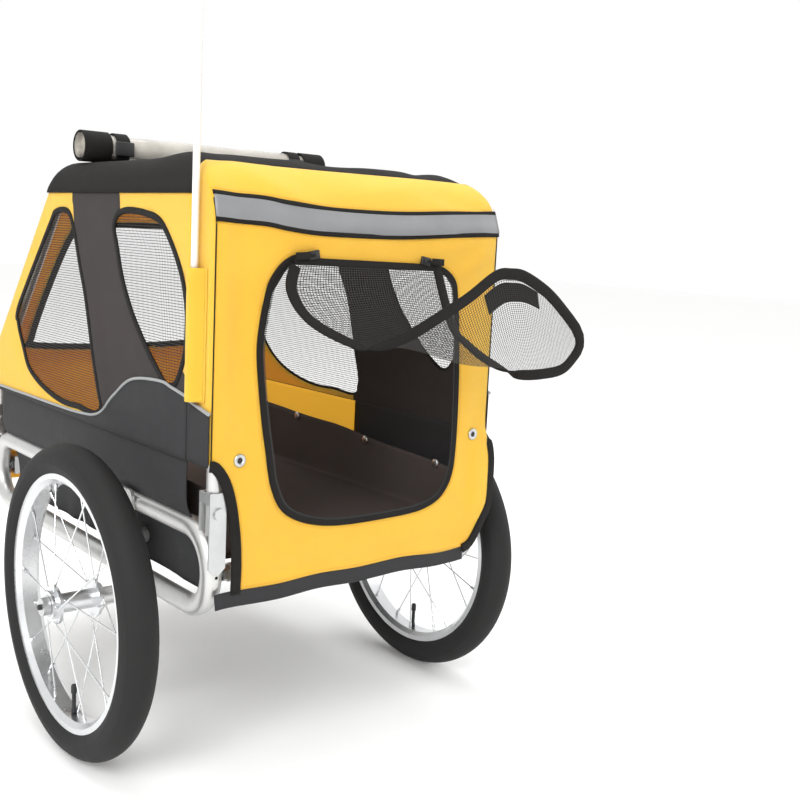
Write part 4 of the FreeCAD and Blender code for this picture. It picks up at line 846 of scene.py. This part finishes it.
def flap():
    """Net flap drawn aside: from its upper edge to a hanging fold and up behind; flat at its free end."""
    rails = (FLAP_UPPER, FLAP_FOLD, FLAP_LOWER)
    upper, fold, lower = (spread(curve_through(rail, 3.0)) for rail in rails)
    opened = np.clip((np.linspace(0, 1, FLAP_ROWS)[:, None] - FOLD_ENDS) / FOLD_FADE, 0, 1)
    opened = opened ** 2 * (3 - 2 * opened)
    fold += ((upper + lower) / 2 - fold) * opened * np.linspace(1, 0.2, FLAP_ROWS)[:, None] ** 0.2
    v = np.linspace(0, 1, FLAP_COLUMNS)[None, :, None]
    weights = ((1 - v) * (1 - 2 * v), 4 * v * (1 - v), v * (2 * v - 1))
    points = sum(weight * rail[:, None] for weight, rail in zip(weights, (upper, fold, lower)))
    item = net("flap_net", points, slice(None), "door", ["door_flap"], FLAP_THREAD)
    ups = unit(np.cross(np.gradient(points, axis=0), np.gradient(points, axis=1)))
    edge, edge_ups = (np.concatenate([field[2:-3, 0], field[-2, 15:-8:16], field[-4:1:-1, -1]])
                      for field in (points, ups))
    strip("flap_binding", edge, fold_section(13, 2.8), edge_ups, TRIM, body="door")
    seam = np.linspace((-115, -5.8, 625.9), (107, -5.8, 621.9), 30)
    strip("flap_seam", seam, fold_section(8, 1.6), (0, -1, 0.15), TRIM, body="door")
    tab = points[TAB_ROWS, TAB_COLUMNS] + ups[TAB_ROWS, TAB_COLUMNS] * 1.4
    rows, columns = tab.shape[:2]
    spots = places(np.arange(columns) * 1.9, np.arange(rows)[:, None] * 3.0)
    patch = piece("flap_tab", grid(tab, spots), BLACK, body="door")
    thicken(patch, 1.0, 0.0)


flap()


# Liner
LINER_Z, LINER_RISE = 286.5, 88.0
LINER_HALF, LINER_REAR, LINER_FRONT = 180.5, 29.0, 653.0
LINER_TOP = ((29, 53, 219, 300, 409, 487, 653), (351, 353, 362, 368, 370.5, 374.5, 374.5))
LINER_FOLDS = [(0, 120, 30, 90, 12, 1.5), (60, 300, 80, 120, 14, 1.5), (-80, 240, 20, 80, 12, 1.2)]


def lowered(item):
    """Give a piece of the liner its own copy of its mesh."""
    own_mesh(item)


def liner():
    """Black floor tray with raised sides, soft at its corners."""
    half = LINER_HALF
    u = spans((-half - LINER_RISE, -half - 4, 12), (2 - half, half - 2, 50), (half + 4, half + LINER_RISE, 12))
    v = np.linspace(LINER_REAR, LINER_FRONT, 80)[:, None]
    over = np.maximum(np.abs(u) - half, 0)
    x = np.sign(u) * np.minimum(np.abs(u), half)
    wave = 1.6 * np.sin(v / 27 + np.sign(u)) + 1.0 * np.sin(v / 61)
    x = x - np.sign(u) * np.where(over > 0, 1.5 + np.clip(over / LINER_RISE, 0, 1) * (1.2 + wave), 0)
    rise = (np.interp(v, *LINER_TOP) - LINER_Z) / LINER_RISE
    z = LINER_Z + over * rise + creases(u, v, LINER_FOLDS)
    shape = grid(places(x, v, z), places(u, v))
    # The tray's cloth is the black cloth lightened with painted light.
    tray = thicken(piece("liner_cloth", shape, LINING_PAINTED_LIGHT, ["floor_liner"]), 1.4)
    lowered(tray)


liner()


# Trim of the rear face and the corners, with painted shade in the eyelets and along the corner seams
def lathe_set(name, profile, spots, finish, stands_for=(), body="chassis", count=28):
    """Equal solids turned from a profile of radius and height; each spot is a place and an axis."""
    points = np.array([(r * math.cos(t), r * math.sin(t), h) for r, h in profile for t in circle(count)])
    faces = grid_faces(len(profile), count, True)
    faces += [tuple(range(count))[::-1], tuple(range((len(profile) - 1) * count, len(profile) * count))]
    parts = []
    for place, axis in spots:
        turn = np.array(Vector((0, 0, 1)).rotation_difference(Vector(axis)).to_matrix())
        parts.append((points @ turn.T + np.asarray(place, float), faces, points[:, :2]))
    return piece(name, merged(parts), finish, stands_for, body)


def block(centre, size, turn=0.0):
    """Shape of a box turned about Y."""
    c, s = cos_sin(turn)
    corners = np.array([(x, y, z) for x in (-1, 1) for y in (-1, 1) for z in (-1, 1)]) * np.asarray(size) / 2
    spun_x = corners[:, 0] * c + corners[:, 2] * s
    spun_z = corners[:, 2] * c - corners[:, 0] * s
    faces = [(0, 1, 3, 2), (4, 6, 7, 5), (0, 4, 5, 1), (2, 3, 7, 6), (0, 2, 6, 4), (1, 5, 7, 3)]
    return places(spun_x, corners[:, 1], spun_z) + centre, faces, corners[:, :2]


def blocks(name, parts, finish, bevel, stands_for=()):
    """One piece of boxes with rounded edges and no chart."""
    item = piece(name, (*merged(parts)[:2], None), finish, stands_for)
    edge = item.modifiers.new("edge", "BEVEL")
    edge.width = bevel * MM
    edge.segments = 2


def sliders():
    """Two zip sliders with their hanging pulls."""
    bodies, pulls = [], []
    for x, z, lean in ((-88, 633, -86), (82, 630, 88)):
        bodies += [block((x, -5.6, z), (15, 4.0, 10), lean * 0.12), block((x, -8.4, z), (9, 2.4, 5.5), lean * 0.12)]
        c, s = cos_sin(lean)
        for reach, width, length in ((4, 3.4, 8), (17, 8.5, 20)):
            pulls.append(block((x + s * reach, -9.6, z - c * reach), (width, 1.8, length), -lean))
    blocks("zip_slider_bodies", bodies, PLASTIC, 0.8, ["zip_sliders"])
    blocks("zip_pulls", pulls, TRIM, 0.6)


# Row sizes are pitch, length, width and height
TOOTH, TREAD_BLOCK = (2.4, 1.5, 3.4, 1.3), (8.4, 6.2, 4.4, 2.0)
REAR_STITCH, BINDING_STITCH, SLEEVE_STITCH = (4.2, 3.2, 0.8, 0.7), (4.0, 3.0, 0.8, 0.7), (4.0, 3.0, 0.9, 0.8)
repeated("zip_teeth", [on_rear(beside(ZIP_LINE, 4.2)[:-14], 1.2)], BLOCK_ROWS, TOOTH, PLASTIC)
sewn = [beside(ZIP_LINE, -7.5), STRIPE + (0, 18.5), STRIPE + (0, -18.5), NOTCH_LEFT[6:] + (9, 0),
        HEM[7:-4] + (0, 13)]
repeated("rear_stitches", [on_rear(line, 0.2) for line in sewn], STITCH_ROWS, REAR_STITCH, THREAD)
edge_lines = [on_rear(beside(ZIP_LINE, -2.6), 2.0), on_rear(NOTCH_LEFT + (3, 0), 2.7)]
repeated("binding_stitches", edge_lines, STITCH_ROWS, BINDING_STITCH, TRIM)
sliders()
EYELETS = [(tuple(rear_face(x, z, 0.4)), (0, -1, 0)) for x, z in ((-175, 401), (184, 403))]
EYELET = [(3.4, 0.0), (7.6, 0.0), (8.0, 0.6), (6.6, 1.7), (5.0, 2.0), (3.8, 1.4), (3.4, 0.4)]
lathe_set("rear_eyelets", EYELET, EYELETS, ZINC, ["snap_studs"])
# Painted shade: a black disc in each eyelet stands for the shade in its hole.
lathe_set("eyelet_hole_shade", [(0.2, 0.2), (3.9, 0.2), (3.9, 0.6), (0.2, 0.6)], EYELETS, PLASTIC)
SNAPS = [((sign * 176.6, y, z), (-sign, 0, 0)) for sign in SIDES.values()
         for y, z in ((60, 352), (218, 357), (397, 365), (577, 365))]
SNAP = [(0.1, 0.0), (6.2, 0.0), (6.4, 0.7), (5.4, 1.9), (3.2, 2.6), (0.1, 2.8)]
lowered(lathe_set("liner_snaps", SNAP, SNAPS, ZINC))
CORNER_GREY = np.array([(2.5, 395.5), (51.5, 395.5), (51.5, 467), (2.5, 456.0)])
CORNER_PIPING = curve_through([(1.5, 456), (26, 461), (52, 467)], 4)
for side, sign in SIDES.items():
    heights = np.linspace(404, 690, 60)
    seam = places(sign * (BODY_HALF - 2.0), rear_bend(heights)[1] + 1.7, heights)
    # Painted shade: a thin black line stands for the shade along each corner seam of the rear face.
    strip("corner_seam_shade_" + side, seam, round_section(0.8), (sign, -1, 0), TRIM)
    wall_sheet("corner_grey_" + side, CORNER_GREY, [], sign, GREY, "chassis", 1.6,
               thick=0.9)
    wall_strip("corner_grey_piping_" + side, CORNER_PIPING, sign, round_section(2.2), PALE, "chassis", 2.2)


# Rolled cover of clear vinyl with black ends
ROLL_Y, ROLL_Z, ROLL_HALF = 392.0, 758.2, 195.5
ROLL_TURNS, ROLL_RADII = 3.6, (6.5, 18.2)
END_X, BAND_X = 176, 140


def cover_roll():
    """Clear sheet rolled up in a spiral along the roof's front edge."""
    turns = np.linspace(0, TURN * ROLL_TURNS, 150)
    radius = np.interp(turns, [0, turns[-1]], ROLL_RADII)
    xs = np.linspace(-ROLL_HALF, ROLL_HALF, 60)[:, None]
    reach = radius + (0.35 * np.sin(xs / 23 + 2 * turns) + 0.25 * np.sin(xs / 9))
    points = places(xs, ROLL_Y + reach * np.cos(turns), ROLL_Z + reach * np.sin(turns))
    run = np.append(0, np.cumsum(0.5 * (radius[1:] + radius[:-1]) * np.diff(turns)))
    roll = piece("cover_vinyl", grid(points, places(xs, run)), VINYL, ["cover_roll"])


def roll_loops(name, place, radius, section, stands_for=()):
    """A loop of tape round each half of the roll."""
    around = circle(64)
    outwards = places(0.0, np.cos(around), np.sin(around))
    middles = [(sign * place, ROLL_Y, ROLL_Z) for sign in SIDES.values()]
    piece(name, merged(swept(middle + radius * outwards, section, outwards, True) for middle in middles), TRIM,
          stands_for)


cover_roll()
roll_loops("roll_ends", END_X, 19.1, flat_section(39.5, 1.6), ["roll_straps"])
roll_loops("roll_bands", BAND_X, 18.9, flat_section(20, 1.5))
buckles = [block((sign * BAND_X, ROLL_Y - 21.5, ROLL_Z - 1), (27, 4.0, 19)) for sign in SIDES.values()]
blocks("roll_buckles", buckles, PLASTIC, 1.4)


# Flag: sleeve, rod and pennant
POLE = (-220.8, 30.0)
SLEEVE_LOW, SLEEVE_HIGH, SLEEVE_HALF = 467, 614, 16
ROD_FOOT = 474.0
ROD = [(0.1, 0), (3.4, 0), (4, 0.6), (4, 435.5), (5.2, 436), (5.5, 436.3), (5.5, 495.7), (5.2, 496), (4, 496.5),
       (4, 735.4), (3.4, 736), (0.1, 736)]
PENNANT_Z, PENNANT_HALF, PENNANT_LONG = 1121.5, 74.0, 190
PENNANT_HEM = (1047, 1196)


def flag_sleeve():
    """Narrow sleeve sewn to the corner, full over the rod and puckered along its seams."""
    u, z = np.linspace(-SLEEVE_HALF, SLEEVE_HALF, 41), np.linspace(SLEEVE_LOW, SLEEVE_HIGH, 48)[:, None]
    pucker = 0.5 * np.sin(z / 5.2) * np.clip((np.abs(u) - 8) / 8, 0, 1)
    lift = 14.6 * np.exp(-(np.abs(u) / 8.6) ** 3.2) + pucker
    shape = grid(places(-(BODY_HALF + 0.6 + np.maximum(lift, 0.2)), POLE[1] + u, z), places(u, z), True)
    item = thicken(piece("flag_sleeve", shape, YELLOW, ["flag_pocket"]), 1.2, 0.0)
    heights = np.linspace(SLEEVE_LOW + 4, SLEEVE_HIGH - 4, 50)
    lines = [(places(-(BODY_HALF + 2.0), POLE[1] + shift, heights), (-1, 0, 0)) for shift in (-13.0, 13.0)]
    repeated("sleeve_stitches", lines, STITCH_ROWS, SLEEVE_STITCH, THREAD)


def pennant():
    """Pointed orange flag, waving more towards its point, with a hem round the rod."""
    s, v = np.linspace(0, 1, 48), np.linspace(-1, 1, 26)[:, None]
    half = PENNANT_HALF * (1 - s) + 0.8
    sway = 8.6 * s * np.sin(2.5 * math.pi * s) + 1.6 * np.sin(7 * s + 2 * v) * s
    points = places(POLE[0] + sway, POLE[1] + 4.6 + PENNANT_LONG * s, PENNANT_Z + half * v)
    shape = grid(points, places(PENNANT_LONG * s, half * v))
    item = thicken(piece("pennant_cloth", shape, ORANGE, ["flag_pennant"], "flag"), 0.8, 0.0)
    line = places(*POLE, np.linspace(*PENNANT_HEM, 30))
    strip("pennant_hem", line, round_section(5.2, 18), (1, 0, 0), ORANGE, body="flag")


flag_sleeve()
lathe_set("flag_rod", ROD, [((*POLE, ROD_FOOT), (0, 0, 1))], WHITE, ["flag_pole"], "flag")
pennant()


# Tyres with tread and valves
WHEEL_X, AXLE_Y, WHEEL_R = 280.0, 205.0, 195.0
TYRE_R, TYRE_TALL, TYRE_WIDE = 174, 19.6, 20.6  # ring round which the section is drawn, half height and width
TREAD_ROWS = (-44, -27, -9, 9, 27, 44)  # degrees round the section
VALVE_FOOT = -146.5
VALVE = [(0.2, 0), (3.4, 0), (3.2, 6), (2.6, 8), (2.6, 26), (3.6, 27), (3.6, 36), (2.2, 38), (0.2, 38)]


def tyre(side, sign):
    """Tyre with two raised rings on each wall, six rows of tread blocks and its valve."""
    centre = np.array([sign * WHEEL_X, AXLE_Y, WHEEL_R])
    body = "wheel_" + side
    angles = np.radians(np.linspace(-137, 137, 61))
    radial, lateral = TYRE_R + TYRE_TALL * np.cos(angles), TYRE_WIDE * np.sin(angles)
    from_tread = np.abs(np.degrees(angles))
    step = 0.7 * (np.exp(-((from_tread - 62) / 4) ** 2) + np.exp(-((from_tread - 96) / 3) ** 2))
    radial, lateral = (radial + step * np.cos(angles))[:, None], (lateral + step * np.sin(angles))[:, None]
    turns = circle(160)
    points = places(lateral, radial * np.cos(turns), radial * np.sin(turns))
    shape = grid(points + centre, places(turns * 190, lateral), True, True)
    thicken(piece(f"tyre_{side}_wall", shape, RUBBER, ["tyre_" + side], body), 1.6)
    lines = []
    for degrees in TREAD_ROWS:
        c, s = cos_sin(degrees)
        out = TYRE_R + 20.1 * c
        spin = np.linspace(0, TURN, 241) + (0.014 if degrees % 2 else 0.0) + degrees * 0.003
        path = places(20.4 * s, out * np.cos(spin), out * np.sin(spin))
        lines.append((path + centre, places(s, c * np.cos(spin), c * np.sin(spin))))
    repeated(f"tyre_{side}_tread", lines, BLOCK_ROWS, TREAD_BLOCK, RUBBER, body)
    foot = centre + (0, 0, VALVE_FOOT)
    lathe_set("valve_" + side, VALVE, [(foot, (0, 0, 1))], PLASTIC, (), body, 16)


for side, sign in SIDES.items():
    tyre(side, sign)


# Stage, light and camera
CAMERA = {"place": (-802.6, -1012.4, 657.6), "yaw": 40.302, "pitch": 8.618, "roll": 2.862, "focal": 1071.1}
SENSOR, PHOTO_WIDTH = 36, 800  # millimetres and pixels
FLOOR_REACH = 14


def camera():
    """The photograph's camera, as fitted to it."""
    (yaw_c, yaw_s), (pitch_c, pitch_s), (roll_c, roll_s) = (cos_sin(CAMERA[key]) for key in ("yaw", "pitch", "roll"))
    ahead = Vector((yaw_s * pitch_c, yaw_c * pitch_c, -pitch_s))
    right = Vector((yaw_c, -yaw_s, 0))
    up = right.cross(ahead)
    side = right * roll_c + up * roll_s
    top = up * roll_c - right * roll_s
    data = bpy.data.cameras.new("camera")
    data.sensor_width = SENSOR
    data.lens = CAMERA["focal"] * SENSOR / PHOTO_WIDTH
    data.clip_end = 50
    item = linked("camera", data)
    turn = Matrix((side, top, -ahead)).transposed().to_4x4()
    item.matrix_world = Matrix.Translation(row([CAMERA["place"]])[0]) @ turn
    bpy.context.scene.camera = item


def lamp(name, place, aim, size, power):
    data = bpy.data.lights.new(name, "AREA")
    data.shape = "DISK"
    data.size = size
    data.energy = power
    item = linked(name, data)
    item.location = place
    item.rotation_euler = (Vector(aim) - Vector(place)).to_track_quat("-Z", "Y").to_euler()


def stage():
    """Pale floor, white surroundings and three lamps."""
    made = Finish("pale_floor")
    grain = made.noise(made.coords("Object"), 3.0, 3.0)
    made.surface(Base_Color=made.mix(grain, (0.965, 0.965, 0.96), (0.985, 0.985, 0.98)), Roughness=0.75)
    mesh = bpy.data.meshes.new("floor")
    corners = [(x * FLOOR_REACH, y * FLOOR_REACH, 0) for x, y in ((-1, -1), (1, -1), (1, 1), (-1, 1))]
    mesh.from_pydata(corners, [], [(0, 1, 2, 3)])
    mesh.materials.append(made.material)
    floor = linked("floor", mesh)
    world = bpy.data.worlds.new("studio")
    world.use_nodes = True
    background = world.node_tree.nodes["Background"]
    background.inputs[0].default_value = (1, 1, 1, 1)
    background.inputs[1].default_value = 1.0
    bpy.context.scene.world = world
    bpy.context.scene.view_settings.view_transform = "Standard"
    lamp("key", (-2.6, -2.4, 2.6), (0, -0.4, 0.4), 2.0, 96)
    lamp("fill", (2.6, -1.8, 1.6), (0, -0.3, 0.4), 2.0, 18)
    lamp("top", (0, 0.4, 3.4), (0, 0, 0.3), 2.4, 41)


# Solids of the frame that keep their own shape
CAD_FINISHES = {
    SILVER: ("side_loop", "side_hoop", "axle_bracket", "rear_cross_tube", "front_cross_tube", "axle_tube",
             "drawbar"),
    ZINC: ("hinge_brackets", "cross_studs", "bracket_screws", "hinge_rivets", "bar_bracket", "bar_bolt",
           "hitch_yoke", "hitch_pin", "hitch_plate", "axle", "bearings"),
    ALLOY: ("rim", "hub"), CHROME: ("spokes",), PLASTIC: ("axle_button", "bar_knob", "flag_cap"),
    BOARD: ("floor_board",), BLOCK: ("hitch_block",),
}
for finish, names in CAD_FINISHES.items():
    for name in names:
        for label in (name, name + "_left", name + "_right"):
            if label in cad:
                cad[label].data.materials.clear()
                cad[label].data.materials.append(finish)

camera()
stage()
